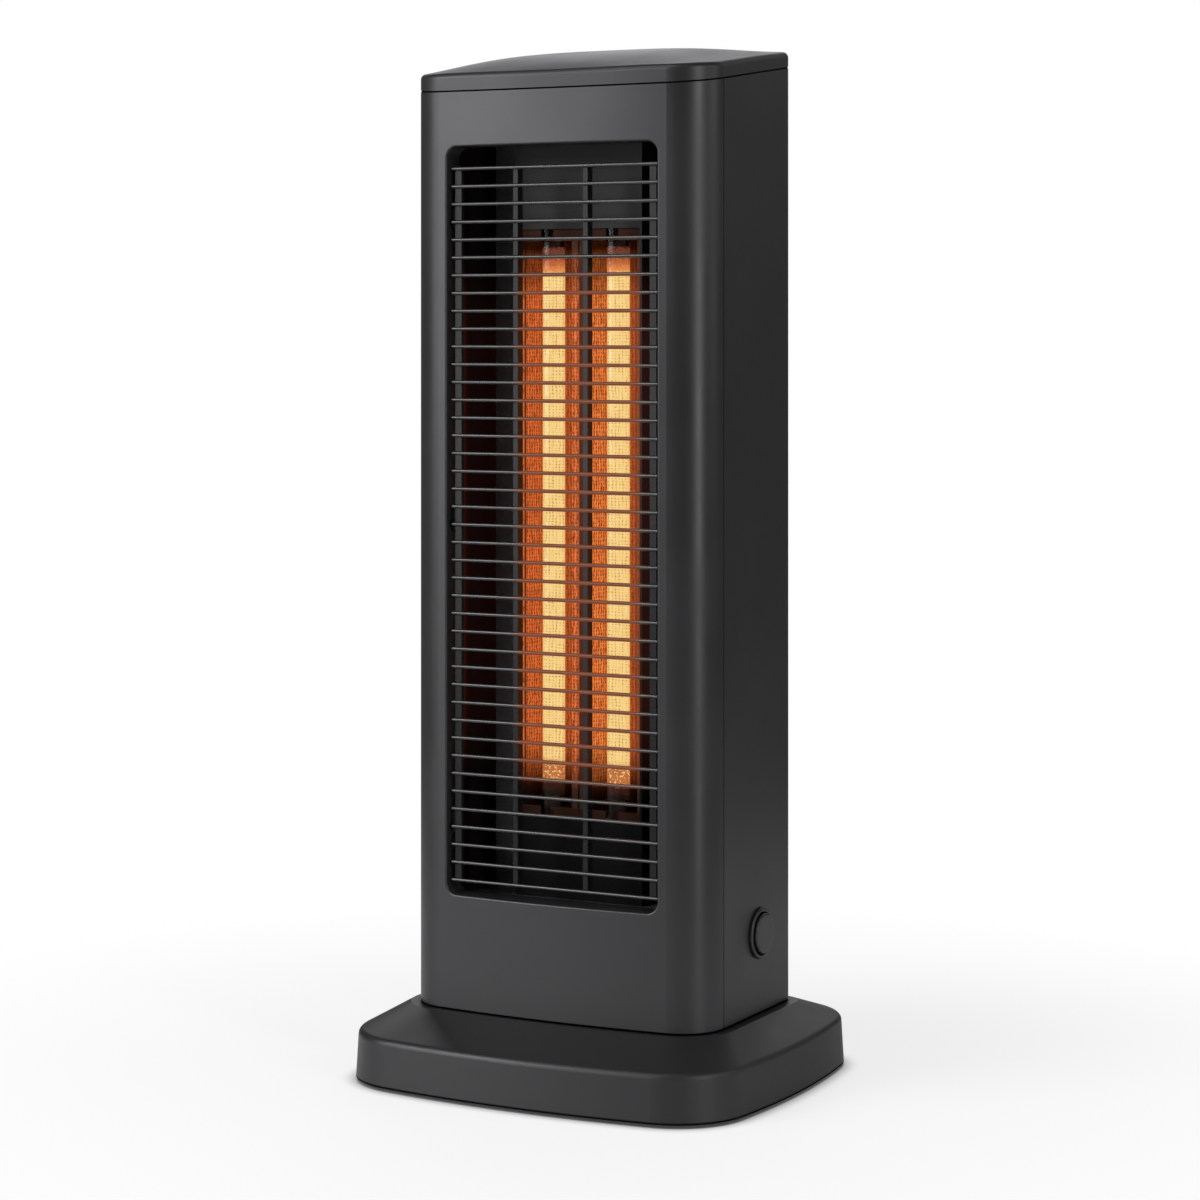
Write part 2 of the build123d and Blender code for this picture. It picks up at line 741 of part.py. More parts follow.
# ---------------------------------------------------------------- shelves and floor
fold_front_y = seam_y + joggle_width + fold_gap
for label, bottom in (("lower_shelf", lower_shelf_bottom), ("upper_shelf", upper_shelf_bottom)):
    top = bottom + shelf_sheet
    shelf_blank = body_block(inner_fit, bottom, top + shelf_fold)
    shelf_hollow = body_block(inner_fit + shelf_sheet, top, top + shelf_fold)
    with BuildPart() as shelf:
        add(shelf_blank)
        add(shelf_hollow, mode=Mode.SUBTRACT)
        box((-half_width, half_width), (front_y, fold_front_y), (top, top + shelf_fold), Mode.SUBTRACT)
        for x, height in rear_screw_places:
            rod(pilot_radius, (x, rear_y, height), to_front, inner_fit + shelf_fold, Mode.SUBTRACT)
        if label == "lower_shelf":
            wire_slot_y = (wire_y - wire_slot_length / 2, wire_y + wire_slot_length / 2)
            box(wire_slot_x, wire_slot_y, (bottom, top), Mode.SUBTRACT)
            for x in (-tube_x, tube_x):
                rod(2 * wire_radius, (x, tube_y, bottom), upwards, shelf_sheet, Mode.SUBTRACT)
        else:
            for x, y in lid_boss_places:
                rod(small_hole, (x, y, bottom), upwards, shelf_sheet, Mode.SUBTRACT)
    finish(shelf.part, label)

floor_blank = body_block(inner_fit, body_bottom, floor_top + floor_fold)
floor_hollow = body_block(inner_fit + floor_sheet, floor_top, floor_top + floor_fold)
tip_wire_x = tip_x - tip_wire_reach
tip_wire_hole = (tip_wire_x, terminal_y)
with BuildPart() as chassis_floor:
    add(floor_blank)
    add(floor_hollow, mode=Mode.SUBTRACT)
    fold_span = (floor_top, floor_top + floor_fold)
    box((-half_width, half_width), (front_y, fold_front_y), fold_span, Mode.SUBTRACT)
    for x, height in rear_screw_places:
        rod(pilot_radius, (x, rear_y, height), to_front, inner_fit + floor_fold, Mode.SUBTRACT)
    for x, y in mount_screw_places:
        rod(mount_screw_radius + slip, (x, y, body_bottom), upwards, floor_sheet, Mode.SUBTRACT)
    rod(2 * wire_radius, (*tip_wire_hole, body_bottom), upwards, floor_sheet, Mode.SUBTRACT)
finish(chassis_floor.part, "chassis_floor")

# ---------------------------------------------------------------- heat shield and baffles
stack_span = (lower_shelf_top + slip, upper_shelf_bottom - slip)
shield_back_y = shield_y + inner_sheet
foot_span = (shield_y - slip - inner_sheet, shield_y - slip)
housing_half = housing_width / 2
housing_screw_x = housing_half + housing_foot / 2
baffle_x = window_width / 2 + baffle_gap
baffle_screw_x = baffle_x + baffle_foot / 2 + inner_sheet
shield_half = baffle_x + inner_sheet + baffle_foot + shield_margin
cap_middle = tube_top + cap_length / 2
upper_flange_middle = top_bracket_height + inner_sheet + bracket_lip / 2
lower_flange_middle = bottom_bracket_height - inner_sheet - bracket_lip / 2
cutout_height = upper_flange_middle + cutout_rise
shield_screw_places = (
    [(x, height) for x in (-housing_screw_x, housing_screw_x) for height in housing_screw_heights]
    + [(x, height) for x in (-baffle_screw_x, baffle_screw_x) for height in housing_screw_heights]
    + [(x, upper_flange_middle) for x in (-bracket_screw_x, bracket_screw_x)]
    + [(x, lower_flange_middle) for x in (-bracket_screw_x, bracket_screw_x)]
)

with BuildPart() as back_shield:
    box((-shield_half, shield_half), (shield_y, shield_back_y), stack_span)
    for x, height in shield_screw_places:
        rod(small_hole, (x, shield_back_y, height), to_front, inner_sheet, Mode.SUBTRACT)
    for x in (-cutout_screw_x, cutout_screw_x):
        rod(small_hole, (x, shield_back_y, cutout_height), to_front, inner_sheet, Mode.SUBTRACT)
    for x in (-tube_x, tube_x):
        rod(2 * wire_radius, (x, shield_back_y, cap_middle), to_front, inner_sheet, Mode.SUBTRACT)
finish(back_shield.part, "back_shield")

for side, label in ((-1, "left_baffle"), (1, "right_baffle")):
    with BuildPart() as baffle:
        web = either_side(side, baffle_x, baffle_x + inner_sheet)
        box(web, (clip_back_y + fit, foot_span[1]), stack_span)
        box(either_side(side, baffle_x, baffle_x + inner_sheet + baffle_foot), foot_span, stack_span)
        for height in housing_screw_heights:
            hole = (side * baffle_screw_x, foot_span[1], height)
            rod(small_hole, hole, to_front, inner_sheet, Mode.SUBTRACT)
    finish(baffle.part, label)

with BuildPart() as element_housing:
    box((-housing_half, housing_half), (housing_y, housing_y + inner_sheet), stack_span)
    for side in (-1, 1):
        web = either_side(side, housing_half - inner_sheet, housing_half)
        box(web, (housing_y, foot_span[1]), stack_span)
        box(either_side(side, housing_half - inner_sheet, housing_half + housing_foot), foot_span, stack_span)
        for height in housing_screw_heights:
            hole = (side * housing_screw_x, foot_span[1], height)
            rod(small_hole, hole, to_front, inner_sheet, Mode.SUBTRACT)
    cutout_span = (cutout_bottom, cutout_top)
    face_span = (housing_y, housing_y + inner_sheet)
    box((-cutout_width / 2, cutout_width / 2), face_span, cutout_span, Mode.SUBTRACT)
finish(element_housing.part, "element_housing")

# ---------------------------------------------------------------- heating elements
for label, height, way in (
    ("tube_bracket_top", top_bracket_height, 1),
    ("tube_bracket_bottom", bottom_bracket_height, -1),
):
    half = housing_half - inner_sheet - fit
    front = housing_y + inner_sheet + bracket_gap
    plate_span = either_side(way, way * height, way * height + inner_sheet)
    lip_span = either_side(way, way * height, way * height + inner_sheet + bracket_lip)
    with BuildPart() as bracket:
        box((-half, half), (front, foot_span[1]), plate_span)
        box((-half, half), (front, front + inner_sheet), lip_span)
        box((-half, half), foot_span, lip_span)
        for x in (-tube_x, tube_x):
            tube_hole = (x, tube_y, lip_span[0])
            rod(tube_radius + fit, tube_hole, upwards, inner_sheet + bracket_lip, Mode.SUBTRACT)
        for x in (-bracket_screw_x, bracket_screw_x):
            middle = (lip_span[0] + lip_span[1] + way * inner_sheet) / 2
            rod(small_hole, (x, foot_span[1], middle), to_front, inner_sheet, Mode.SUBTRACT)
    finish(bracket.part, label)

hem_y = housing_y + inner_sheet + slip
reflector_span = (bottom_bracket_height + slip, top_bracket_height - slip)
trough_line = [
    (ridge_gap, hem_y),
    (tube_x - trough_mouth / 2, hem_y),
    (tube_x - trough_floor / 2, trough_y),
    (tube_x + trough_floor / 2, trough_y),
    (tube_x + trough_mouth / 2, hem_y),
    (tube_x + trough_mouth / 2 + trough_hem, hem_y),
]
with BuildPart() as right_reflector:
    with BuildSketch(Plane.XY.offset(reflector_span[0])):
        with BuildLine():
            Polyline(*strip_corners(trough_line, trough_sheet), close=True)
        make_face()
    extrude(amount=reflector_span[1] - reflector_span[0])
with BuildPart() as left_reflector:
    mirror(right_reflector.part, about=Plane.YZ)
finish(left_reflector.part, "left_reflector")
finish(right_reflector.part, "right_reflector")

for side, name in ((-1, "left"), (1, "right")):
    x = side * tube_x
    with BuildPart() as quartz_tube:
        ring(tube_radius, tube_radius - tube_wall, (x, tube_y, tube_bottom), upwards, tube_top - tube_bottom)
    finish(quartz_tube.part, f"{name}_quartz_tube")
    with BuildPart() as carbon_ribbon:
        ribbon_faces = (tube_y - ribbon_thickness / 2, tube_y + ribbon_thickness / 2)
        box((x - ribbon_width / 2, x + ribbon_width / 2), ribbon_faces, (ribbon_bottom, ribbon_top))
    finish(carbon_ribbon.part, f"{name}_carbon_ribbon")

with BuildPart() as ribbon_clamps:
    for x in (-tube_x, tube_x):
        for start, end, tip in (
            (ribbon_top + slip, ribbon_top + clamp_length, tube_top - cap_spigot - slip),
            (ribbon_bottom - slip, ribbon_bottom - clamp_length, tube_bottom + cap_spigot + slip),
        ):
            clamp_faces = (tube_y - clamp_thickness / 2, tube_y + clamp_thickness / 2)
            box((x - clamp_width / 2, x + clamp_width / 2), clamp_faces, (min(start, end), max(start, end)))
            rod(lead_radius, (x, tube_y, min(end, tip)), upwards, abs(tip - end))
finish(ribbon_clamps.part, "ribbon_clamps")

with BuildPart() as ceramic_caps:
    for x in (-tube_x, tube_x):
        cap_sides = ((x - cap_width / 2, x + cap_width / 2), (tube_y - cap_depth / 2, tube_y + cap_depth / 2))
        box(*cap_sides, (tube_top + slip, tube_top + cap_length))
        box(*cap_sides, (tube_bottom - cap_length, tube_bottom - slip))
        rod(tube_radius - tube_wall - slip, (x, tube_y, tube_top - cap_spigot), upwards, cap_spigot + slip)
        rod(tube_radius - tube_wall - slip, (x, tube_y, tube_bottom - slip), upwards, cap_spigot + slip)
finish(ceramic_caps.part, "ceramic_caps")

with BuildPart() as shield_screws:
    for x, height in shield_screw_places:
        point = (x, shield_back_y + slip, height)
        pan_screw(point, to_back, small_screw_radius, *small_head, small_screw_length)
finish(shield_screws.part, "shield_screws")

# ---------------------------------------------------------------- power button
bezel_bore = button_radius + button_gap
with BuildPart() as button_bezel:
    ring(bezel_radius, bezel_bore, (half_width + slip, button_y, button_height), to_right, bezel_proud)
    fillet(button_bezel.faces().sort_by(Axis.X)[-1].edges(), bezel_edge)
    ring(barrel_radius, bezel_bore, (barrel_end_x, button_y, button_height), to_right, barrel_length + fit)
finish(button_bezel.part, "button_bezel")

with BuildPart() as power_button:
    rod(button_radius, (button_back_x, button_y, button_height), to_right, button_length)
    fillet(power_button.faces().sort_by(Axis.X)[-1].edges(), bezel_edge)
    rod(stem_radius, (button_back_x - stem_length, button_y, button_height), to_right, stem_length)
finish(power_button.part, "power_button")

switch_front_x = barrel_end_x - slip
switch_sides = (
    (button_y - switch_size / 2, button_y + switch_size / 2),
    (button_height - switch_size / 2, button_height + switch_size / 2),
)
with BuildPart() as power_switch:
    box((switch_front_x - switch_length, switch_front_x), *switch_sides)
    stem_well = switch_front_x - (button_back_x - stem_length) + button_travel + 2 * fit
    stem_well_start = (switch_front_x - stem_well, button_y, button_height)
    rod(stem_radius + running_fit, stem_well_start, to_right, stem_well, Mode.SUBTRACT)
finish(power_switch.part, "power_switch")

with BuildPart() as switch_nut:
    nut_start = (inner_side_x - slip - nut_thickness, button_y, button_height)
    ring(nut_radius, barrel_radius + slip, nut_start, to_right, nut_thickness)
finish(switch_nut.part, "switch_nut")

with BuildPart() as button_spring:
    spring_start = (switch_front_x + slip + spring_wire / 2, button_y, button_height)
    spring_length = button_back_x - switch_front_x - 2 * slip
    spring_coil = (switch_spring_radius, spring_wire)
    coil_spring(spring_start, (1, 0, 0), *spring_coil, spring_length, switch_spring_turns)
finish(button_spring.part, "button_spring")

# ---------------------------------------------------------------- base
base_form = base_block(0)
base_hollow = base_block(base_wall)
base_ceiling = base_block(base_wall - fit)
pedestal_outer = body_block(pedestal_inset, deck_height - fit, body_bottom)
pedestal_inner = body_block(pedestal_inset + pedestal_width, deck_height - fit, body_bottom)
deck_outline = body_outline(pedestal_inset)
plate_outline = base_outline(base_wall + fit)
pad_radius = mount_head_radius + base_wall

with BuildPart() as base_bosses:
    with BuildSketch(Plane.XY.offset(plate_top + slip)):
        with Locations(base_screw_places):
            Circle(base_boss_radius)
            Circle(small_hole, mode=Mode.SUBTRACT)
    extrude(amount=deck_height)
    add(base_ceiling, mode=Mode.INTERSECT)

with BuildPart() as base_cover:
    add(base_form)
    rim_edges = base_cover.edges().filter_by_position(Axis.Z, base_rim_height - fit, base_rim_height + fit)
    fillet(rim_edges, base_edge)
    add(base_hollow, mode=Mode.SUBTRACT)
    add(base_bosses.part)
    add(pedestal_outer)
    add(pedestal_inner, mode=Mode.SUBTRACT)
    with BuildSketch(Plane.XY.offset(deck_height - base_wall)):
        add(deck_outline)
    extrude(amount=base_wall)
    for x, y in mount_screw_places:
        rod(pad_radius, (x, y, deck_height - fit), upwards, body_bottom - deck_height + fit)
        rod(mount_screw_radius + fit, (x, y, deck_height - base_wall), upwards, base_wall * 2, Mode.SUBTRACT)
    rod(2 * wire_radius, (*tip_wire_hole, deck_height - base_wall), upwards, base_wall, Mode.SUBTRACT)
finish(base_cover.part, "base_cover")

tip_bracket_ends = (tip_x - tip_plate_left, tip_x + tip_plate_right)
tip_foot_places = [(tip_bracket_ends[0] - tip_foot / 2, tip_y), (tip_bracket_ends[1] + tip_foot / 2, tip_y)]
all_base_screws = base_screw_places + weight_screw_places + tip_foot_places

with BuildPart() as base_plate:
    with BuildSketch(Plane.XY.offset(foot_height)):
        add(plate_outline)
        with Locations(all_base_screws):
            Circle(small_hole, mode=Mode.SUBTRACT)
        with Locations(foot_places):
            Circle(foot_stem + slip, mode=Mode.SUBTRACT)
        with Locations((tip_x, tip_y)):
            Circle(plunger_radius + running_fit, mode=Mode.SUBTRACT)
    extrude(amount=plate_sheet)
finish(base_plate.part, "base_plate")

with BuildPart() as base_weight:
    with BuildSketch(Plane.XY.offset(plate_top + slip)):
        RectangleRounded(weight_length, weight_depth, weight_corner)
        with Locations(weight_screw_places):
            Circle(small_hole, mode=Mode.SUBTRACT)
    extrude(amount=weight_thickness)
    pocket_reach = tip_foot + weight_pocket_gap_x
    pocket_x = (tip_bracket_ends[0] - pocket_reach, tip_bracket_ends[1] + pocket_reach)
    pocket_half = tip_half_width + weight_pocket_gap_y
    pocket_y = (tip_y - pocket_half, tip_y + pocket_half)
    box(pocket_x, pocket_y, (foot_height, plate_top + 2 * weight_thickness), Mode.SUBTRACT)
finish(base_weight.part, "base_weight")

with BuildPart() as rubber_feet:
    for x, y in foot_places:
        rod(foot_radius, (x, y, 0), upwards, foot_height - slip)
        rod(foot_stem, (x, y, 0), upwards, plate_top + foot_height)
        rod(foot_stem + foot_collar, (x, y, plate_top + slip), upwards, foot_height - slip)
finish(rubber_feet.part, "rubber_feet")

with BuildPart() as base_screws:
    for x, y in all_base_screws:
        point = (x, y, foot_height - slip)
        pan_screw(point, downwards, small_screw_radius, *small_head, screw_length)
finish(base_screws.part, "base_screws")

with BuildPart() as body_mount_screws:
    mount_length = floor_top + mount_nut_height + mount_screw_end - (deck_height - base_wall)
    for x, y in mount_screw_places:
        point = (x, y, deck_height - base_wall - slip)
        pan_screw(point, downwards, mount_screw_radius, mount_head_radius, mount_head_height, mount_length)
finish(body_mount_screws.part, "body_mount_screws")

with BuildPart() as body_mount_nuts:
    with BuildSketch(Plane.XY.offset(floor_top + slip)):
        with Locations(mount_screw_places):
            RegularPolygon(mount_nut_radius, 6)
            Circle(mount_screw_radius + slip, mode=Mode.SUBTRACT)
    extrude(amount=mount_nut_height)
finish(body_mount_nuts.part, "body_mount_nuts")

# ---------------------------------------------------------------- tip-over switch
micro_bottom = deck_height - base_wall - tip_headroom - micro_height
lever_bottom = micro_bottom - lever_room - lever_sheet
lever_middle = lever_bottom + lever_sheet / 2
tip_top = lever_bottom - fit
tip_plate_top = tip_top - fit - plunger_travel
tip_plate_height = tip_plate_top - tip_plate_sheet
collar_top = tip_plate_height - tip_spring_length
collar_bottom = collar_top - collar_thickness
pivot_x = tip_x - lever_arm
micro_hole_xs = [pivot_x + distance for distance in micro_screw_xs]
micro_screw_height = micro_bottom + micro_height / 2 + micro_screw_rise

with BuildPart() as tip_plunger:
    rod(plunger_radius, (tip_x, tip_y, 0), upwards, tip_top)
    chamfer(tip_plunger.faces().sort_by(Axis.Z)[0].edges(), plunger_tip)
    rod(collar_radius, (tip_x, tip_y, collar_bottom), upwards, collar_thickness)
finish(tip_plunger.part, "tip_plunger")

with BuildPart() as tip_bracket:
    bracket_y = (tip_y - tip_half_width, tip_y + tip_half_width)
    left_end, right_end = tip_bracket_ends
    box((left_end, right_end), bracket_y, (tip_plate_height, tip_plate_top))
    box((left_end, left_end + tip_plate_sheet), bracket_y, (plate_top + slip, tip_plate_top))
    box((right_end - tip_plate_sheet, right_end), bracket_y, (plate_top + slip, tip_plate_top))
    foot_heights = (plate_top + slip, plate_top + slip + tip_plate_sheet)
    box((left_end - tip_foot, left_end + tip_plate_sheet), bracket_y, foot_heights)
    box((right_end - tip_plate_sheet, right_end + tip_foot), bracket_y, foot_heights)
    ear_y = tip_y + micro_width / 2 + slip
    ear_x = (pivot_x - tip_ear_margin, tip_x - plunger_radius - tip_ear_gap)
    box(ear_x, (ear_y, ear_y + tip_plate_sheet), (tip_plate_height, micro_bottom + micro_height))
    for x, y in tip_foot_places:
        rod(small_hole, (x, y, plate_top), upwards, 2 * tip_plate_sheet, Mode.SUBTRACT)
    guide_hole = (tip_x, tip_y, tip_plate_height)
    rod(plunger_radius + running_fit, guide_hole, upwards, tip_plate_sheet, Mode.SUBTRACT)
    for x in micro_hole_xs:
        hole = (x, ear_y + tip_plate_sheet, micro_screw_height)
        rod(micro_hole, hole, to_front, tip_plate_sheet, Mode.SUBTRACT)
finish(tip_bracket.part, "tip_bracket")

with BuildPart() as tip_switch:
    micro_x = (pivot_x - micro_overhang, pivot_x - micro_overhang + micro_length)
    micro_y = (tip_y - micro_width / 2, tip_y + micro_width / 2)
    box(micro_x, micro_y, (micro_bottom, micro_bottom + micro_height))
    for side in (-1, 1):
        ear = either_side(side, lever_width / 2 + fit, micro_width / 2)
        cheek_y = (tip_y + ear[0], tip_y + ear[1])
        cheek_x = (pivot_x - pivot_cheek, pivot_x + pivot_cheek)
        box(cheek_x, cheek_y, (lever_middle - pivot_cheek, micro_bottom))
    rod(pivot_radius, (pivot_x, micro_y[0], lever_middle), to_back, micro_width)
    rod(pin_radius + running_fit, (pivot_x + pin_arm, tip_y, micro_bottom), upwards, pin_well, Mode.SUBTRACT)
    for x in micro_hole_xs:
        rod(micro_hole, (x, micro_y[0], micro_screw_height), to_back, micro_width, Mode.SUBTRACT)
finish(tip_switch.part, "tip_switch")

with BuildPart() as tip_switch_screws:
    for x in micro_hole_xs:
        point = (x, micro_y[0] - slip, micro_screw_height)
        micro_screw_length = micro_width + 2 * tip_plate_sheet
        micro_head = (micro_hole + micro_head_margin, micro_head_height)
        pan_screw(point, to_front, micro_hole - slip, *micro_head, micro_screw_length)
finish(tip_switch_screws.part, "tip_switch_screws")

with BuildPart() as tip_lever:
    lever_y = (tip_y - lever_width / 2, tip_y + lever_width / 2)
    box((pivot_x, tip_x + lever_end), lever_y, (lever_bottom, lever_bottom + lever_sheet))
    rod(lever_barrel, (pivot_x, lever_y[0], lever_middle), to_back, lever_width)
    rod(pivot_radius + running_fit, (pivot_x, lever_y[0], lever_middle), to_back, lever_width, Mode.SUBTRACT)
finish(tip_lever.part, "tip_lever")

with BuildPart() as tip_pin:
    pin_bottom = lever_bottom + lever_sheet + fit
    pin_length = micro_bottom + pin_well - fit - pin_bottom
    rod(pin_radius, (pivot_x + pin_arm, tip_y, pin_bottom), upwards, pin_length)
finish(tip_pin.part, "tip_pin")

with BuildPart() as tip_spring:
    spring_start = (tip_x, tip_y, collar_top + slip + tip_spring_wire / 2)
    spring_length = tip_spring_length - 2 * slip
    coil_spring(spring_start, (0, 0, 1), tip_spring_radius, tip_spring_wire, spring_length, tip_spring_turns)
finish(tip_spring.part, "tip_spring")

# ---------------------------------------------------------------- carrying grip
with BuildPart() as carry_grip:
    cup_x = grip_length / 2 - fit
    cup_z = grip_height / 2 - fit
    grip_face_y = panel_face_y + slip
    grip_middle = (0, grip_centre_height)
    with BuildSketch(to_front.offset(-grip_face_y - grip_flange_sheet)):
        with Locations(grip_middle):
            RectangleRounded(2 * cup_x, 2 * cup_z, grip_corner)
    extrude(amount=grip_depth + grip_flange_sheet)
    with BuildSketch(to_front.offset(-grip_face_y - grip_flange_sheet)):
        with Locations(grip_middle):
            flange_height = grip_height + 2 * grip_flange
            RectangleRounded(grip_length + 2 * grip_ears, flange_height, grip_corner + grip_flange)
    extrude(amount=grip_flange_sheet)
    flange_face = carry_grip.faces().sort_by(Axis.Y)[-1]
    fillet(flange_face.edges(), grip_flange_sheet / 2)
    with BuildSketch(to_front.offset(-grip_face_y - grip_flange_sheet)):
        with Locations(grip_middle):
            RectangleRounded(2 * (cup_x - grip_wall), 2 * (cup_z - grip_wall), grip_corner - grip_wall)
    extrude(amount=grip_depth + grip_flange_sheet - grip_wall, mode=Mode.SUBTRACT)
    for x in (-grip_screw_x, grip_screw_x):
        grip_hole = (x, grip_face_y + grip_flange_sheet, grip_centre_height)
        rod(small_hole, grip_hole, to_front, grip_flange_sheet, Mode.SUBTRACT)
finish(carry_grip.part, "carry_grip")

with BuildPart() as grip_screws:
    for x in (-grip_screw_x, grip_screw_x):
        point = (x, grip_face_y + grip_flange_sheet + slip, grip_centre_height)
        pan_screw(point, to_back, small_screw_radius, *small_head, small_screw_length)
finish(grip_screws.part, "grip_screws")

# ---------------------------------------------------------------- cord gland
gland_face_y = panel_face_y + slip
gland_inner_y = gland_face_y - gland_inner_length
with BuildPart() as cord_gland:
    rod(gland_barrel, (gland_x, gland_inner_y, gland_height), to_back, gland_inner_length)
    rod(gland_flange, (gland_x, gland_face_y, gland_height), to_back, gland_flange_thickness)
    nose_length = gland_flange_thickness + gland_nose_length
    rod(gland_nose, (gland_x, gland_face_y, gland_height), to_back, nose_length)
    fillet(cord_gland.faces().sort_by(Axis.Y)[-1].edges(), gland_nose_edge)
    bore_length = gland_inner_length + nose_length
    rod(gland_bore, (gland_x, gland_inner_y, gland_height), to_back, bore_length, Mode.SUBTRACT)
finish(cord_gland.part, "cord_gland")

with BuildPart() as gland_nut:
    with BuildSketch(to_front.offset(-rear_y)):
        with Locations((gland_x, gland_height)):
            RegularPolygon(gland_nut_radius, 6)
            Circle(gland_barrel + slip, mode=Mode.SUBTRACT)
    extrude(amount=nut_thickness)
finish(gland_nut.part, "gland_nut")

# ---------------------------------------------------------------- terminals and wiring
with BuildPart() as thermal_cutout:
    rod(cutout_radius, (0, cutout_start_y, cutout_height), to_back, cutout_thickness)
    wing_x = cutout_screw_x + cutout_wing
    wing_z = (cutout_height - cutout_wing, cutout_height + cutout_wing)
    box((-wing_x, wing_x), (cutout_start_y, cutout_start_y + cutout_flange), wing_z)
    for x in (-cutout_screw_x, cutout_screw_x):
        rod(small_hole, (x, cutout_start_y, cutout_height), to_back, cutout_flange, Mode.SUBTRACT)
finish(thermal_cutout.part, "thermal_cutout")

with BuildPart() as cutout_screws:
    for x in (-cutout_screw_x, cutout_screw_x):
        point = (x, cutout_start_y + cutout_flange + slip, cutout_height)
        pan_screw(point, to_back, small_screw_radius, *small_head, small_screw_length)
finish(cutout_screws.part, "cutout_screws")

terminal_top = floor_top + slip + terminal_height
terminal_xs = [terminal_pitch * (index - (terminal_count - 1) / 2) for index in range(terminal_count)]
with BuildPart() as terminal_block:
    terminal_x = (-terminal_length / 2, terminal_length / 2)
    box(terminal_x, (terminal_front_y, terminal_y + terminal_depth / 2), (floor_top + slip, terminal_top))
    for x in terminal_xs:
        well_bottom = (x, terminal_y, terminal_top - terminal_well)
        rod(terminal_screw_radius + slip, well_bottom, upwards, terminal_well, Mode.SUBTRACT)
finish(terminal_block.part, "terminal_block")

with BuildPart() as terminal_screws:
    for x in terminal_xs:
        screw_bottom = (x, terminal_y, terminal_top - terminal_well + slip)
        rod(terminal_screw_radius, screw_bottom, upwards, terminal_well - terminal_screw_drop)
finish(terminal_screws.part, "terminal_screws")

terminal_wire_y = terminal_front_y - slip
terminal_side_x = terminal_length / 2 + slip
cap_bottom = tube_bottom - cap_length - slip
cap_back_y = tube_y + cap_depth / 2 + slip
heater_wire_paths = [
    [
        (side * tube_x, terminal_wire_y, wire_height),
        (side * tube_x, tube_y, wire_height),
        (side * tube_x, tube_y, cap_bottom),
    ]
    for side in (-1, 1)
]
heater_wire_paths += [
    [
        (-tube_x, cap_back_y, cap_middle),
        (-tube_x, wire_y, cap_middle),
        (-wire_lane, wire_y, cap_middle),
        (-wire_lane, wire_y, wire_height),
        (-wire_lane, terminal_wire_y, wire_height),
    ],
    [
        (tube_x, cap_back_y, cap_middle),
        (tube_x, wire_y, cap_middle),
        (wire_step, wire_y, cap_middle),
        (wire_step, wire_y, cutout_height + wire_step),
        (wire_step, cutout_back_y, cutout_height + wire_step),
    ],
    [
        (-wire_step, cutout_back_y, cutout_height - wire_step),
        (-wire_step, wire_y, cutout_height - wire_step),
        (-wire_step, wire_y, wire_height),
        (-wire_step, terminal_wire_y, wire_height),
    ],
]
switch_back_x = switch_front_x - switch_length - slip
switch_wire_x = switch_back_x - switch_wire_reach
micro_wire_height = micro_bottom + micro_wire_rise
switch_wire_paths = [
    [
        (terminal_side_x, terminal_y + way * wire_step, wire_height),
        (switch_wire_x + lane, terminal_y + way * wire_step, wire_height),
        (switch_wire_x + lane, button_y + way * wire_step, wire_height),
        (switch_wire_x + lane, button_y + way * wire_step, button_height + way * wire_step),
        (switch_back_x, button_y + way * wire_step, button_height + way * wire_step),
    ]
    for way, lane in ((1, 0.0), (-1, -wire_step))
]
switch_wire_paths += [
    [
        (-terminal_side_x, terminal_y, wire_height),
        (tip_wire_x, terminal_y, wire_height),
        (tip_wire_x, terminal_y, micro_wire_height),
        (tip_wire_x, tip_y, micro_wire_height),
        (micro_x[0] - slip, tip_y, micro_wire_height),
    ]
]
for label, paths in (("heater_wires", heater_wire_paths), ("switch_wires", switch_wire_paths)):
    with BuildPart() as wires:
        for points in paths:
            with BuildLine() as route:
                FilletPolyline(*points, radius=wire_bend)
            with BuildSketch(Plane(origin=route.line @ 0, z_dir=route.line % 0)):
                Circle(wire_radius)
            sweep(path=route.line)
    finish(wires.part, label)

# ---------------------------------------------------------------- body screws
with BuildPart() as rear_screws:
    for x, height in rear_screw_places:
        point = (x, panel_face_y + slip, height)
        pan_screw(point, to_back, screw_radius, screw_head_radius, screw_head_height, screw_length)
    fillet(rear_screws.faces().group_by(Axis.Y)[-1].edges(), screw_head_height / 2)
finish(rear_screws.part, "rear_screws")

with BuildPart() as lid_screws:
    for x, y in lid_boss_places:
        point = (x, y, upper_shelf_bottom - slip)
        pan_screw(point, downwards, small_screw_radius, *small_head, screw_length)
finish(lid_screws.part, "lid_screws")
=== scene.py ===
"""Looks of the infrared patio heater tower: finishes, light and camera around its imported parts."""

import math

import bpy
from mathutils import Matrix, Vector


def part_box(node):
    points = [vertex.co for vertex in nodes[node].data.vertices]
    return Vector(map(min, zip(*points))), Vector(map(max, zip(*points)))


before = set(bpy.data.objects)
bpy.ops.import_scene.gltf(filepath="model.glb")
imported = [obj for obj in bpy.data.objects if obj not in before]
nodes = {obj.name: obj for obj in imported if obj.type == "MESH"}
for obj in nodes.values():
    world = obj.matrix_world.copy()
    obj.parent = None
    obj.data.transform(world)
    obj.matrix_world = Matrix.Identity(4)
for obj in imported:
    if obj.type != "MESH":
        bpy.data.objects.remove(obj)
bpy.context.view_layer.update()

MM = 0.001

# A named range in this file is (from, to), or (from, to, value at from, value at to). Those for
# near_ends are in mm inwards from the ribbons' ends.
NOISE_MIDDLE = (0.3, 0.7)


def mm(*sizes):
    """Millimetres as a tuple of metres."""
    return tuple(size * MM for size in sizes)


def grey(tone):
    """A colour without a tint."""
    return (tone, tone, tone)


def shade(colour, amount):
    """A colour made lighter or darker."""
    return tuple(min(1.0, part * amount) for part in colour)


WHITE = grey(1.0)


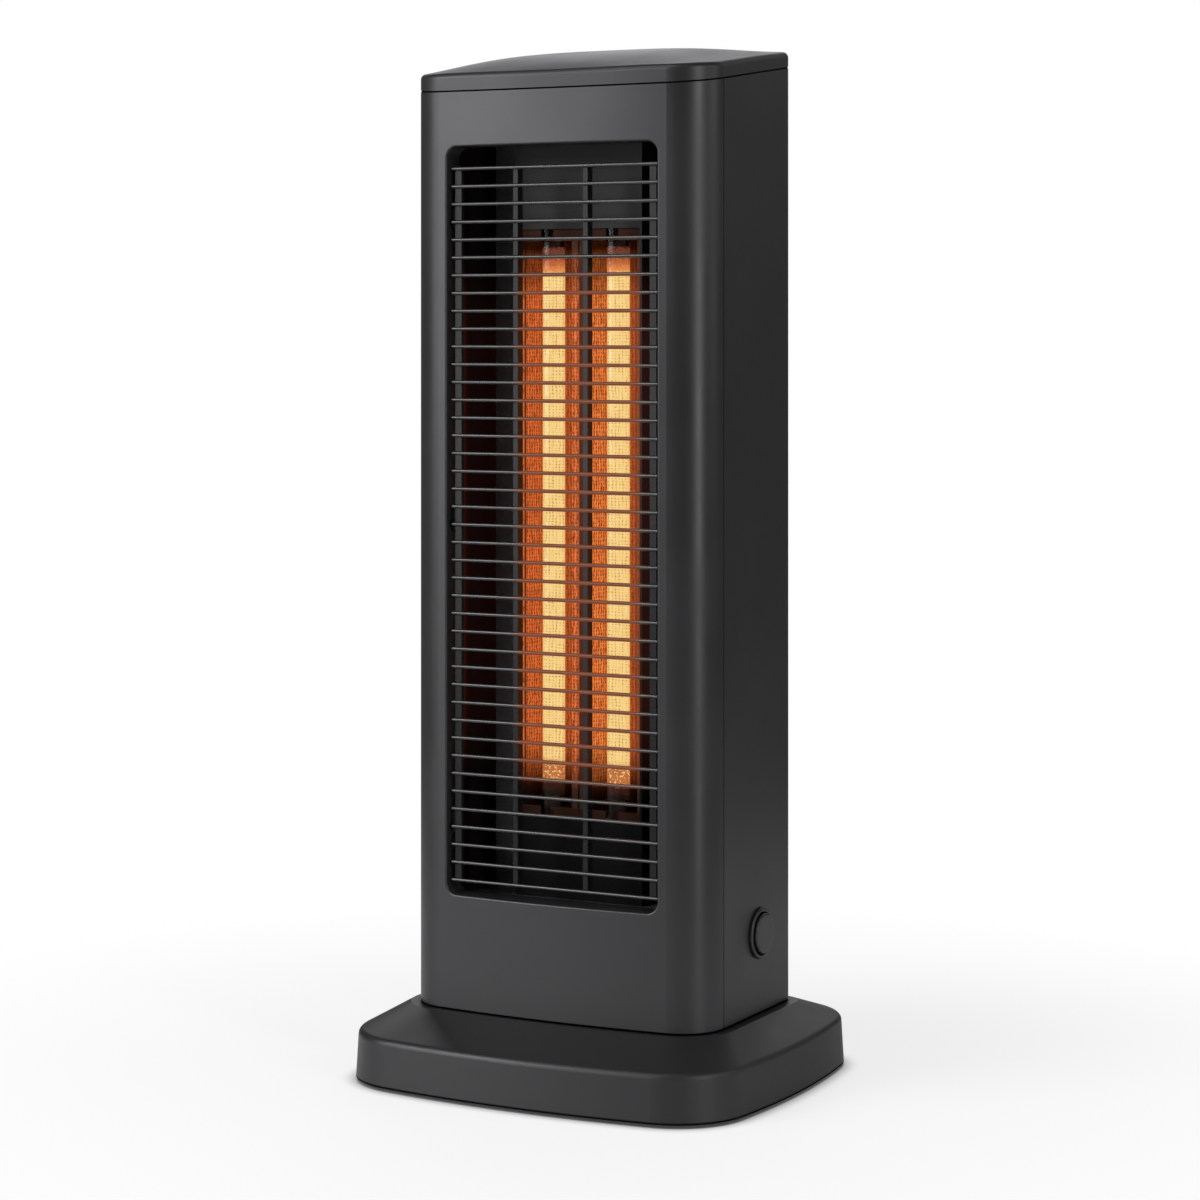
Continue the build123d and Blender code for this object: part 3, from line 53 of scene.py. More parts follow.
# ---------------------------------------------------------------- node materials
class Surface:
    """A node material: its Principled shader, and short calls that add nodes in front of it."""

    def __init__(self, name, **sockets):
        self.material = bpy.data.materials.new(name)
        self.material.use_nodes = True
        self.tree = self.material.node_tree
        self.shader = self.tree.nodes["Principled BSDF"]
        self.output = self.tree.nodes["Material Output"]
        self.place = self.tree.nodes.new("ShaderNodeTexCoord").outputs["Object"]
        axes = self.node("SeparateXYZ", Vector=self.place)
        self.x, self.y, self.z = axes.outputs
        self.set(**sockets)

    def set(self, **sockets):
        """Feed the shader's sockets: underscores in a name stand for spaces."""
        for name, value in sockets.items():
            self.feed(self.shader.inputs[name.replace("_", " ")], value)

    def source(self, name):
        """What feeds one of the shader's sockets so far."""
        return self.shader.inputs[name].links[0].from_socket

    def feed(self, socket, value):
        """Link a socket to another one, or give it a plain value."""
        if isinstance(value, bpy.types.NodeSocket):
            self.tree.links.new(value, socket)
        elif isinstance(value, tuple) and socket.type == "RGBA":
            socket.default_value = (*value, 1.0)
        else:
            socket.default_value = value

    def node(self, kind, **inputs):
        """A new node with its inputs fed."""
        made = self.tree.nodes.new("ShaderNode" + kind)
        for name, value in inputs.items():
            self.feed(made.inputs[name.replace("_", " ")], value)
        return made

    def math(self, operation, *values):
        """The result of a math node."""
        made = self.tree.nodes.new("ShaderNodeMath")
        made.operation = operation
        for socket, value in zip(made.inputs, values):
            self.feed(socket, value)
        return made.outputs[0]

    def noise(self, size, stretch=(1, 1, 1), detail=2.0, roughness=0.5):
        """Noise from 0 to 1 whose lumps are about this many metres wide, times the stretch."""
        scale = tuple(1 / (size * part) for part in stretch)
        mapping = self.node("Mapping", Vector=self.place, Scale=scale)
        made = self.node("TexNoise", Vector=mapping.outputs[0], Scale=1.0, Detail=detail, Roughness=roughness)
        return made.outputs["Fac"]

    def span(self, value, low, high, to_low=0.0, to_high=1.0, smooth=True):
        """A value mapped from one range to another, and held at its ends."""
        made = self.node("MapRange", Value=value)
        made.interpolation_type = "SMOOTHSTEP" if smooth else "LINEAR"
        for name, number in (("From Min", low), ("From Max", high), ("To Min", to_low), ("To Max", to_high)):
            self.feed(made.inputs[name], number)
        return made.outputs["Result"]

    def mix(self, factor, first, second):
        """Two colours mixed."""
        made = self.tree.nodes.new("ShaderNodeMix")
        made.data_type = "RGBA"
        self.feed(made.inputs["Factor"], factor)
        colour_inputs = [socket for socket in made.inputs if socket.type == "RGBA"]
        self.feed(colour_inputs[0], first)
        self.feed(colour_inputs[1], second)
        return [socket for socket in made.outputs if socket.type == "RGBA"][0]

    def blend(self, share, first, second):
        """Two shader nodes mixed: the second has this share."""
        made = self.node("MixShader", Fac=share)
        self.feed(made.inputs[1], first.outputs[0])
        self.feed(made.inputs[2], second.outputs[0])
        return made

    def show(self, last):
        """Make this shader node the material's surface."""
        self.feed(self.output.inputs["Surface"], last.outputs[0])

    def bump(self, height, depth, strength=1.0):
        """Relief of the given depth in metres, from a height that runs from 0 to 1."""
        made = self.node("Bump", Height=height, Strength=strength, Distance=depth)
        self.set(Normal=made.outputs[0])

    def dress(self, *names):
        """Give this finish to whole CAD nodes."""
        for name in names:
            mesh = nodes[name].data
            mesh.materials.clear()
            mesh.materials.append(self.material)
            for face in mesh.polygons:
                face.material_index = 0


# ---------------------------------------------------------------- places that the glow is worked out from
ribbon_low, ribbon_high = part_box("right_carbon_ribbon")
ELEMENT_X = (ribbon_low.x + ribbon_high.x) / 2
RIBBON_HALF = (ribbon_high.x - ribbon_low.x) / 2
ELEMENT_MIDDLE = (ribbon_low.z + ribbon_high.z) / 2
RIBBON_REACH = (ribbon_high.z - ribbon_low.z) / 2
TROUGH_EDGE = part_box("right_reflector")[1].x


def across(made):
    """Distance from the middle of the nearer element, outwards positive."""
    return made.math("SUBTRACT", made.math("ABSOLUTE", made.x), ELEMENT_X)


def along(made):
    """Distance from the elements' middle height."""
    return made.math("ABSOLUTE", made.math("SUBTRACT", made.z, ELEMENT_MIDDLE))


def near_ends(made, start, stop, before, beyond):
    """A value that changes between two places, given in mm inwards from the ribbons' ends."""
    return made.span(along(made), RIBBON_REACH - start * MM, RIBBON_REACH - stop * MM, before, beyond)


def wave(made, value, pitch):
    """A sine from 0 to 1 along a value."""
    turned = made.math("SINE", made.math("MULTIPLY", value, 2 * math.pi / pitch))
    return made.math("MULTIPLY_ADD", turned, 0.5, 0.5)


# ---------------------------------------------------------------- kinds of finish
# A coating's tone and gloss drift over wide lumps. Its grain shows as a fine speckle.
DRIFT_SIZE = 90 * MM
DRIFT_DARK, DRIFT_LIGHT = 0.92, 1.08
DRIFT_GLOSS = 0.05
SPECKLE_SHARE = (0.35, 0.75, 0.0, 0.25)
SPECKLE_LIGHT = 1.35
SPECKLE_GLOSS = 0.03
# Painted shade: ambient occlusion darkens the tone and cuts the gloss in creases and seams.
CREASE_OPENS = (0.35, 0.85)
CREASE_SHADE_TONE = 0.15

STREAK_DARK, STREAK_LIGHT = 0.82, 1.12
STREAK_RANGE = (0.2, 0.8)
STREAK_SMOOTHER, STREAK_ROUGHER = 0.08, 0.1
STREAK_DEPTH = 0.01 * MM
CLOUD_SIZE = 40 * MM
CLOUD_SHARE = (0.35, 0.7, 0.0, 0.35)
CLOUD_DARK = 0.7
GLOW_TINT_SHARE = 0.75


def coating(name, colour, roughness, grain=0.35 * MM, depth=0.012 * MM, shine=0.5, crease_shade_reach=None):
    """Sprayed or moulded satin finish: faint grain, gloss that drifts a little, and painted shade in creases.
    """
    made = Surface(name)
    drift = made.noise(DRIFT_SIZE, detail=3.0)
    speckle = made.noise(grain, detail=1.0)
    tone = made.mix(drift, shade(colour, DRIFT_DARK), shade(colour, DRIFT_LIGHT))
    tone = made.mix(made.span(speckle, *SPECKLE_SHARE), tone, shade(colour, SPECKLE_LIGHT))
    gloss = made.math("ADD", made.span(drift, *NOISE_MIDDLE, -DRIFT_GLOSS, DRIFT_GLOSS), roughness)
    gloss = made.math("ADD", gloss, made.span(speckle, *NOISE_MIDDLE, -SPECKLE_GLOSS, SPECKLE_GLOSS))
    # Painted shade in creases and seams, where ambient occlusion finds them close.
    if crease_shade_reach:
        unshaded = made.span(made.node("AmbientOcclusion", Distance=crease_shade_reach).outputs["AO"], *CREASE_OPENS)
        tone = made.mix(unshaded, shade(colour, CREASE_SHADE_TONE), tone)
        shine = made.math("MULTIPLY", unshaded, shine)
    made.set(Base_Color=tone, Roughness=gloss, Specular_IOR_Level=shine)
    made.bump(speckle, depth)
    return made


def sheet_metal(name, colour, roughness, stretch=(0.04, 1, 1), size=2.0 * MM, glow_tint=None):
    """Metal with streaks and a cloudy tone, and with a painted warm glow where it is asked for."""
    made = Surface(name, Metallic=1.0)
    streaks = made.noise(size, stretch, detail=4.0, roughness=0.6)
    cloud = made.noise(CLOUD_SIZE, detail=3.0)
    tone = made.mix(streaks, shade(colour, STREAK_DARK), shade(colour, STREAK_LIGHT))
    tone = made.mix(made.span(cloud, *CLOUD_SHARE), tone, shade(colour, CLOUD_DARK))
    # Painted glow: a warm tint stands in for the elements' light.
    if glow_tint:
        near, far, tint = glow_tint
        tone = made.mix(made.span(along(made), near, far, GLOW_TINT_SHARE, 0.0), tone, tint)
    gloss = made.span(streaks, *STREAK_RANGE, roughness - STREAK_SMOOTHER, roughness + STREAK_ROUGHER)
    made.set(Base_Color=tone, Roughness=gloss)
    made.bump(streaks, STREAK_DEPTH, strength=0.5)
    return made


# ---------------------------------------------------------------- glowing elements
GLOW_CORE = (1.0, 0.76, 0.31)
GLOW_THREAD = (0.95, 0.45, 0.10)
GLOW_GAP = (0.50, 0.17, 0.030)
GLOW_LOW = (0.50, 0.135, 0.040)
GLOW_RIM_WIDTH = 0.9 * MM
GLOW_RIM_SHARE = 0.5
ROW_PITCH = 1.9 * MM
COLUMN_PITCH = 2.3 * MM
THREAD_PITCH = 1.2 * MM
THREAD_DEPTH = 0.15 * MM
ROW_WANDER = 0.4 * MM
END_WANDER = 1.2 * MM

ROW_GAPS = (0.5, 1.0)
COLUMN_GAPS = (0.6, 1.0)
CROSSING_SHARE = 0.75
ROW_PATCHES = (0.44, 0.62, 0.0, 0.26)
COLUMN_PATCHES = (0.40, 0.60, 0.05, 0.38)
GAP_PATCHES = (0.36, 0.60, 0.25, 1.0)
THREAD_PATCHES = (0.36, 0.62, 0.2, 1.0)
DIM_BAND = (23, 17, 0.0, 0.95)
DIM_FLECKS = (0.67, 0.53)

# The glow fades through these colours towards a ribbon's end: (from, to, colour), in mm from the end.
TOP_END = (
    (18, 13, (0.74, 0.25, 0.075)),
    (12.5, 9.5, (0.52, 0.135, 0.042)),
    (8.5, 6.5, (0.25, 0.082, 0.040)),
    (5.8, 4.2, (0.150, 0.044, 0.023)),
    (1.3, 0.5, (0.050, 0.0105, 0.0055)),
)
LOW_END = (
    (8.5, 7.0, (0.030, 0.007, 0.003)),
    (3.6, 2.6, (0.006, 0.002, 0.001)),
)


def weave_gaps(made, side):
    """The gaps of the woven band, from 0 to 1: faint rows and columns, open where they cross, in patches."""
    wander = made.span(made.noise(6 * MM), *NOISE_MIDDLE, -ROW_WANDER, ROW_WANDER, smooth=False)
    rows = made.span(wave(made, made.math("ADD", made.z, wander), ROW_PITCH), *ROW_GAPS)
    columns = made.span(wave(made, made.math("ADD", side, wander), COLUMN_PITCH), *COLUMN_GAPS)
    crossings = made.math("MULTIPLY", made.math("MULTIPLY", rows, columns), CROSSING_SHARE)
    row_patches = made.span(made.noise(4 * MM, stretch=(1, 1, 0.4)), *ROW_PATCHES)
    column_patches = made.span(made.noise(4 * MM, stretch=(0.4, 1, 2)), *COLUMN_PATCHES)
    row_part = made.math("MULTIPLY", rows, row_patches)
    column_part = made.math("MULTIPLY", columns, column_patches)
    woven = made.math("ADD", crossings, made.math("MAXIMUM", row_part, column_part))
    gap_patches = made.span(made.noise(5 * MM, stretch=(1, 1, 1.6), detail=3.0), *GAP_PATCHES)
    return made.math("MULTIPLY", woven, gap_patches)


def end_colours(made, glow, stages, wander):
    """Mix the stages of a ribbon's end into its glow, with a ragged edge between them."""
    ragged = made.math("ADD", along(made), wander)
    for start, stop, colour in stages:
        reached = made.span(ragged, RIBBON_REACH - start * MM, RIBBON_REACH - stop * MM)
        glow = made.mix(reached, glow, colour)
    return glow


def dress_ribbons():
    """A woven band that glows: bright threads, darker gaps and rims, and ends that fade."""
    made = Surface("glowing_carbon_weave", Base_Color=(0.004, 0.002, 0.0015), Roughness=0.8)
    made.set(Specular_IOR_Level=0.1)
    side = across(made)
    gaps = weave_gaps(made, side)
    crossed = made.math("MULTIPLY", wave(made, side, THREAD_PITCH), wave(made, made.z, THREAD_PITCH))
    cloud = made.noise(2.0 * MM, stretch=(0.6, 1, 1.6), detail=3.0)
    flecks = made.noise(1.2 * MM)
    threads = made.math("MULTIPLY", crossed, made.span(cloud, *THREAD_PATCHES))
    glow = made.mix(threads, GLOW_CORE, GLOW_THREAD)
    glow = made.mix(gaps, glow, GLOW_GAP)
    sideways = made.math("ABSOLUTE", side)
    rim = made.span(sideways, RIBBON_HALF - GLOW_RIM_WIDTH, RIBBON_HALF, 0.0, GLOW_RIM_SHARE)
    glow = made.mix(rim, glow, GLOW_THREAD)
    wander = made.span(flecks, *NOISE_MIDDLE, -END_WANDER, END_WANDER)
    dimmed = made.math("MULTIPLY", near_ends(made, *DIM_BAND), made.span(flecks, *DIM_FLECKS))
    low_half = end_colours(made, made.mix(dimmed, glow, GLOW_LOW), LOW_END, wander)
    top_half = end_colours(made, glow, TOP_END, wander)
    upper = made.span(made.z, ELEMENT_MIDDLE - MM, ELEMENT_MIDDLE + MM)
    made.set(Emission_Color=made.mix(upper, low_half, top_half), Emission_Strength=1.0)
    made.bump(threads, THREAD_DEPTH)
    made.dress("left_carbon_ribbon", "right_carbon_ribbon")


dress_ribbons()

# ---------------------------------------------------------------- reflectors
# They carry a painted reflection of the ribbons, given off as emission: the ribbons again, darker and broken
# up into a fine grid. Its tints are set for the camera's side, so the left one and the right one differ.
SHEEN_OUTER = (0.80, 0.160, 0.034)
SHEEN_INNER = (1.00, 0.245, 0.050)
SHEEN_FLOOR = (0.52, 0.090, 0.018)
SHEEN_RIDGE = (0.90, 0.185, 0.036)
SHEEN_FAR = (0.26, 0.060, 0.020)
SHEEN_DARK = (0.16, 0.028, 0.008)
SHEEN_FOLD = (0.085, 0.012, 0.003)
SHEEN_LINE = (0.70, 0.16, 0.035)
SHEEN_LIP = (0.035, 0.008, 0.004)
SHEET_TONES = ((0.030, 0.014, 0.009), (0.055, 0.027, 0.018))
SHEET_ROUGHNESS = (0.45, 0.6)
SHEET_DEPTH = 0.03 * MM

# Places across a trough, from its element's middle to the right.
TROUGH_FLOOR = mm(-11, -7)
TROUGH_FAR = mm(5, 6)
TROUGH_RIDGE = mm(14, 17)
TROUGH_RIDGE_SHARE = 0.9
TROUGH_FOLD = mm(-15.9, -15.6)
TROUGH_LINE = -16.4 * MM
TROUGH_LINE_EDGE = mm(0.1, 0.25)
TROUGH_LINE_SHARE = 0.9
TROUGH_LIP = mm(-18.0, -17.0)

# Half the width of the change from the left trough's tints to the right one's.
TROUGH_CHANGE = 0.01 * MM

GRID_ACROSS = 2.4 * MM
GRID_ALONG = 2.2 * MM
GRID_WANDER = 0.6 * MM
GRID_LINES = 0.45
GRID_CROSSINGS = 0.5
GRID_FLECKS = (0.42, 0.66, 0.0, 0.42)
LINE_BREAKS = (0.35, 0.5, 0.3, 1.0)
SHEEN_ENDS = (34, 12, 1.0, 0.34)
SHEEN_TIPS = (9, 0, 1.0, 0.10)
SHEEN_LOW_START, SHEEN_LOW_STOP, SHEEN_LOW = 14 * MM, 5 * MM, 0.10


def dress_reflectors():
    """Dark polished sheet with a painted reflection of the ribbons' glow, given off as emission."""
    made = Surface("mirror_sheet_painted_reflection", Metallic=0.9)
    way_across = made.span(made.x, -TROUGH_CHANGE, TROUGH_CHANGE, -1.0, 1.0)
    right_one = made.span(made.x, -TROUGH_CHANGE, TROUGH_CHANGE)
    local = made.math("SUBTRACT", made.x, made.math("MULTIPLY", way_across, ELEMENT_X))
    section = made.math("ADD", made.x, made.y)
    wander = made.span(made.noise(5 * MM), *NOISE_MIDDLE, -GRID_WANDER, GRID_WANDER, smooth=False)
    lines = wave(made, made.math("ADD", section, wander), GRID_ACROSS)
    rows = wave(made, made.math("ADD", made.z, wander), GRID_ALONG)
    ripple = made.noise(1.3 * MM, stretch=(1, 1, 3))

    tint = made.mix(right_one, SHEEN_OUTER, SHEEN_INNER)
    tint = made.mix(made.span(local, *TROUGH_FLOOR), tint, SHEEN_FLOOR)
    tint = made.mix(made.math("MULTIPLY", right_one, made.span(local, *TROUGH_FAR)), tint, SHEEN_FAR)
    ridge = made.span(local, *TROUGH_RIDGE, 0.0, TROUGH_RIDGE_SHARE)
    tint = made.mix(ridge, tint, made.mix(right_one, SHEEN_RIDGE, SHEEN_FAR))
    crossings = made.math("MULTIPLY", made.math("MULTIPLY", lines, rows), GRID_CROSSINGS)
    threads = made.math("MULTIPLY_ADD", lines, GRID_LINES, crossings)
    tint = made.mix(made.math("ADD", threads, made.span(ripple, *GRID_FLECKS)), tint, SHEEN_DARK)
    tint = made.mix(made.span(local, *TROUGH_FOLD), SHEEN_FOLD, tint)
    from_line = made.math("ABSOLUTE", made.math("SUBTRACT", local, TROUGH_LINE))
    line = made.span(from_line, *TROUGH_LINE_EDGE, TROUGH_LINE_SHARE, 0.0)
    tint = made.mix(made.math("MULTIPLY", line, made.span(ripple, *LINE_BREAKS)), tint, SHEEN_LINE)
    tint = made.mix(made.span(local, *TROUGH_LIP, 1.0, 0.0), tint, SHEEN_LIP)

    fade = made.math("MULTIPLY", near_ends(made, *SHEEN_ENDS), near_ends(made, *SHEEN_TIPS))
    below = made.math("SUBTRACT", ELEMENT_MIDDLE, made.z)
    low_end = made.span(below, RIBBON_REACH - SHEEN_LOW_START, RIBBON_REACH - SHEEN_LOW_STOP, 1.0, SHEEN_LOW)
    fade = made.math("MULTIPLY", fade, low_end)

    made.set(Base_Color=made.mix(ripple, *SHEET_TONES))
    made.set(Roughness=made.span(ripple, *NOISE_MIDDLE, *SHEET_ROUGHNESS))
    # Painted reflection of the ribbons, given off as emission.
    made.set(Emission_Color=tint, Emission_Strength=fade)
    made.bump(ripple, SHEET_DEPTH)
    made.dress("left_reflector", "right_reflector")


dress_reflectors()

# ---------------------------------------------------------------- quartz tubes
QUARTZ_CLEAR = (0.98, 0.96, 0.94)
QUARTZ_IOR = 1.45
QUARTZ_ROUGHNESS = (0.08, 0.18)
QUARTZ_CORD_DEPTH = 0.05 * MM
QUARTZ_CORD_STRENGTH = 0.4
QUARTZ_HAZE = (0.3, 0.8, 0.0, 0.02)
QUARTZ_GLINT = 0.10


def dress_tubes():
    """Quartz: clear, with the faint cords and haze of a drawn tube."""
    made = Surface("drawn_quartz")
    clear = made.node("BsdfTransparent", Color=QUARTZ_CLEAR)
    glint = made.node("BsdfGlossy", Color=WHITE)
    smear = made.span(made.noise(2 * MM, stretch=(1, 1, 20)), *NOISE_MIDDLE, *QUARTZ_ROUGHNESS)
    made.feed(glint.inputs["Roughness"], smear)
    cords = made.noise(2.5 * MM, stretch=(1, 1, 25))
    relief = made.node("Bump", Height=cords, Strength=QUARTZ_CORD_STRENGTH, Distance=QUARTZ_CORD_DEPTH)
    made.feed(glint.inputs["Normal"], relief.outputs[0])
    fresnel = made.node("Fresnel", IOR=QUARTZ_IOR)
    haze = made.span(made.noise(9 * MM, detail=4.0), *QUARTZ_HAZE)
    share = made.math("ADD", made.math("MULTIPLY", fresnel.outputs[0], QUARTZ_GLINT), haze)
    made.show(made.blend(share, clear, glint))
    made.dress("left_quartz_tube", "right_quartz_tube")


dress_tubes()

# ---------------------------------------------------------------- finishes of the outside
BLACK = (0.0170, 0.0170, 0.0177)
BASE_BLACK = shade(BLACK, 0.78)
# Painted shadow along the base cover's foot: nearly black, without gloss.
FOOT_SHADOW_TONE = shade(BLACK, 0.1)
FOOT_SHADOW = mm(2.6, 3.6)

# The guard carries a painted glow, the elements' light on its wires, where they cross the glow from the
# camera's side.
# It isn't centred on the elements, and from other sides it doesn't match them.
GUARD_PAINTED_GLOW = (0.175, 0.045, 0.014)
GUARD_GLOW_LEFT = mm(-28, -17)
GUARD_GLOW_RIGHT = mm(50, 60)
GUARD_GLOW_ENDS = (26, 6, 1.0, 0.0)

# The guard's front part holds nothing but its wires: the rails and stays begin a little further back.
GUARD_WIRES_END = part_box("wire_guard")[0].y + 1.6 * MM
GUARD_WIRES_EDGE = 0.2 * MM
GUARD_RAIL_SHARE = 0.12
GUARD_RAIL_SHINE, GUARD_WIRE_SHINE = 0.20, 0.60
GUARD_GLOW_SHINE = 0.28


def dress_base():
    """The base cover's satin plastic, with a painted shadow along its foot and painted shade where the tower
    stands.
    """
    # Painted shade in its creases darkens the deck where the tower stands on it.
    made = coating("base_satin_plastic", BASE_BLACK, roughness=0.43, shine=0.45, crease_shade_reach=7 * MM)
    lit = made.span(made.z, *FOOT_SHADOW)
    made.set(Base_Color=made.mix(lit, FOOT_SHADOW_TONE, made.source("Base Color")))
    made.set(Specular_IOR_Level=made.math("MULTIPLY", lit, made.source("Specular IOR Level")))
    made.dress("base_cover")


def dress_guard():
    """The guard's dip coat: its wires are glossier than its rails, but duller where they carry its painted
    glow.
    """
    made = coating("guard_dip_coat", (0.010, 0.010, 0.0102), roughness=0.26, grain=0.6 * MM, depth=0.02 * MM)
    from_left = made.span(made.x, *GUARD_GLOW_LEFT)
    from_right = made.span(made.x, *GUARD_GLOW_RIGHT, 1.0, 0.0)
    level = made.math("MULTIPLY", from_left, from_right)
    level = made.math("MULTIPLY", near_ends(made, *GUARD_GLOW_ENDS), level)
    is_wire = made.span(made.y, GUARD_WIRES_END, GUARD_WIRES_END + GUARD_WIRES_EDGE, 1.0, GUARD_RAIL_SHARE)
    # Painted glow: emission stands in for the elements' light on the wires.
    painted_glow = made.math("MULTIPLY", level, is_wire)
    shine = made.span(is_wire, GUARD_RAIL_SHARE, 1.0, GUARD_RAIL_SHINE, GUARD_WIRE_SHINE)
    shine = made.math("MULTIPLY", shine, made.span(painted_glow, 0.0, 1.0, 1.0, GUARD_GLOW_SHINE))
    made.set(Emission_Color=GUARD_PAINTED_GLOW, Emission_Strength=painted_glow, Specular_IOR_Level=shine)
    made.dress("wire_guard")


# Painted shade darkens the seams and creases of the shells, the lid, the bezel and the button.
coating("shell_powder_coat", BLACK, roughness=0.37, crease_shade_reach=3 * MM).dress(
    "front_shell", "left_side_panel", "right_side_panel", "back_panel")
coating("lid_satin_plastic", BLACK, roughness=0.42, shine=0.47, crease_shade_reach=3 * MM).dress("top_lid")
dress_base()
dress_guard()
coating("bezel_satin_plastic", (0.019, 0.019, 0.020), roughness=0.32, crease_shade_reach=2 * MM).dress("button_bezel")
coating("button_satin_plastic", (0.021, 0.021, 0.022), roughness=0.36, grain=0.25 * MM, crease_shade_reach=2 * MM).dress(
    "power_button")
coating(
    "grip_textured_plastic", (0.022, 0.022, 0.023), roughness=0.55, grain=0.7 * MM, depth=0.06 * MM,
).dress("carry_grip")
coating("gland_nylon", grey(0.02), roughness=0.5, grain=0.5 * MM).dress("cord_gland", "gland_nut")
coating("foot_rubber", grey(0.015), roughness=0.8, grain=0.5 * MM, depth=0.05 * MM).dress("rubber_feet")
# Black rubber, darkened further and without gloss as painted shade in the lid seam.
coating("gasket_rubber", grey(0.002), roughness=0.9, grain=0.5 * MM, shine=0.05).dress("lid_gasket")
coating("switch_nylon", grey(0.03), roughness=0.5).dress("power_switch", "switch_nut", "tip_switch")
coating("plunger_acetal", (0.78, 0.78, 0.75), roughness=0.4).dress("tip_plunger", "tip_pin")

# ---------------------------------------------------------------- finishes of the inside
HOUSING_LINE_TONE = (0.004, 0.004, 0.0042)
HOUSING_LINES = (0.40, 0.62, 0.0, 0.5)
HOUSING_LOW_SHADE = grey(0.0022)
HOUSING_LOW_SHARE = 0.9
HOUSING_SHINE, HOUSING_LOW_SHINE = 0.3, 0.06
HOUSING_GLOW_ENDS = (60, -4, 0.95, 0.0)
HOUSING_PAINTED_GLOW = (0.017, 0.0045, 0.0030)
HOUSING_GLOW_FROM = 9 * MM
HOUSING_GLOW_LEAST = 0.15
HOUSING_GLOW_TINT = (0.028, 0.0125, 0.0095)
STRIP_WIDTH = 8 * MM
STRIP_TONE = grey(0.075)
STRIP_GLOW_TINT = (0.0095, 0.0038, 0.0034)
STRIP_SHINE = 0.2

BAFFLE_PAINTED_GLOW = (0.038, 0.0060, 0.0040)
BAFFLE_GLOW_DEPTH = 11 * MM
BAFFLE_GLOW_LEAST = 0.10
BAFFLE_GLOW_ENDS = (60, 0, 1.0, 0.0)
# Painted glow on the brackets, strongest at the ribbons' ends.
BRACKET_GLOW_TINT = (RIBBON_REACH, RIBBON_REACH + 12 * MM, (0.034, 0.013, 0.008))


def dress_housing():
    """The inner panel: dark, with painted shade that darkens it downwards, a painted warm glow beside the
    elements, and another tone at its left.
    """
    made = coating("heat_resistant_black", (0.010, 0.010, 0.0103), roughness=0.55, grain=0.5 * MM)
    lines = made.noise(0.5 * MM, stretch=(60, 1, 1))
    plain = made.mix(made.span(lines, *HOUSING_LINES), made.source("Base Color"), HOUSING_LINE_TONE)
    bottom, top = ELEMENT_MIDDLE - RIBBON_REACH, ELEMENT_MIDDLE + RIBBON_REACH
    # Painted shade: the panel gets darker and duller towards the bottom of the recess.
    low = made.span(made.z, bottom, top, HOUSING_LOW_SHARE, 0.0)
    strip = made.span(made.x, -TROUGH_EDGE - STRIP_WIDTH, -TROUGH_EDGE, 1.0, 0.0)
    plain = made.mix(strip, plain, STRIP_TONE)
    plain = made.mix(low, plain, HOUSING_LOW_SHADE)
    # Painted glow: a warm tint and a faint emission stand in for the elements' light near their ends.
    glow_nearness = near_ends(made, *HOUSING_GLOW_ENDS)
    tint = made.mix(strip, HOUSING_GLOW_TINT, STRIP_GLOW_TINT)
    shine = made.span(low, 0.0, HOUSING_LOW_SHARE, HOUSING_SHINE, HOUSING_LOW_SHINE)
    shine = made.math("MULTIPLY", shine, made.span(strip, 0.0, 1.0, 1.0, STRIP_SHINE))
    made.set(Base_Color=made.mix(glow_nearness, plain, tint), Specular_IOR_Level=shine)
    beside = made.span(made.x, -TROUGH_EDGE - HOUSING_GLOW_FROM, -TROUGH_EDGE, HOUSING_GLOW_LEAST, 1.0)
    made.set(Emission_Color=HOUSING_PAINTED_GLOW, Emission_Strength=made.math("MULTIPLY", glow_nearness, beside))
    made.dress("element_housing")


def dress_baffles():
    """The side walls: a painted glow of the elements' light near the guard."""
    made = coating("baffle_black", (0.0040, 0.0009, 0.0006), roughness=0.7, grain=0.5 * MM, shine=0.15)
    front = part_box("left_baffle")[0].y
    # Painted glow: emission stands in for the elements' light near the guard.
    caught = made.span(made.y, front, front + BAFFLE_GLOW_DEPTH, 1.0, BAFFLE_GLOW_LEAST)
    caught = made.math("MULTIPLY", caught, near_ends(made, *BAFFLE_GLOW_ENDS))
    made.set(Emission_Color=BAFFLE_PAINTED_GLOW, Emission_Strength=caught)
    made.dress("left_baffle", "right_baffle")


dress_housing()
dress_baffles()
coating("clip_black", grey(0.004), roughness=0.6, grain=0.5 * MM, shine=0.2).dress("guard_clips")
sheet_metal("bracket_glow_tinted", (0.030, 0.014, 0.010), roughness=0.5, glow_tint=BRACKET_GLOW_TINT).dress(
    "tube_bracket_top", "tube_bracket_bottom")
sheet_metal("zinc_sheet", (0.55, 0.56, 0.57), roughness=0.38, stretch=(1, 0.05, 1)).dress(
    "lower_shelf", "upper_shelf", "chassis_floor", "back_shield", "base_plate", "tip_bracket", "tip_lever")
coating("oxidised_clamp", (0.016, 0.0065, 0.0045), roughness=0.8, grain=0.4 * MM, shine=0.1).dress(
    "ribbon_clamps")
sheet_metal("screw_steel", (0.30, 0.30, 0.31), roughness=0.32, stretch=(1, 1, 1), size=1.5 * MM).dress(
    "rear_screws", "lid_screws", "shield_screws", "cutout_screws", "body_mount_screws", "body_mount_nuts",
    "base_screws", "tip_switch_screws", "grip_screws")
sheet_metal("spring_wire", grey(0.6), roughness=0.25, stretch=(1, 1, 1), size=0.8 * MM).dress(
    "button_spring", "tip_spring")
sheet_metal("cutout_aluminium", grey(0.72), roughness=0.35).dress("thermal_cutout")
sheet_metal("terminal_brass", (0.72, 0.55, 0.25), roughness=0.3, stretch=(1, 1, 1), size=1.0 * MM).dress(
    "terminal_screws")
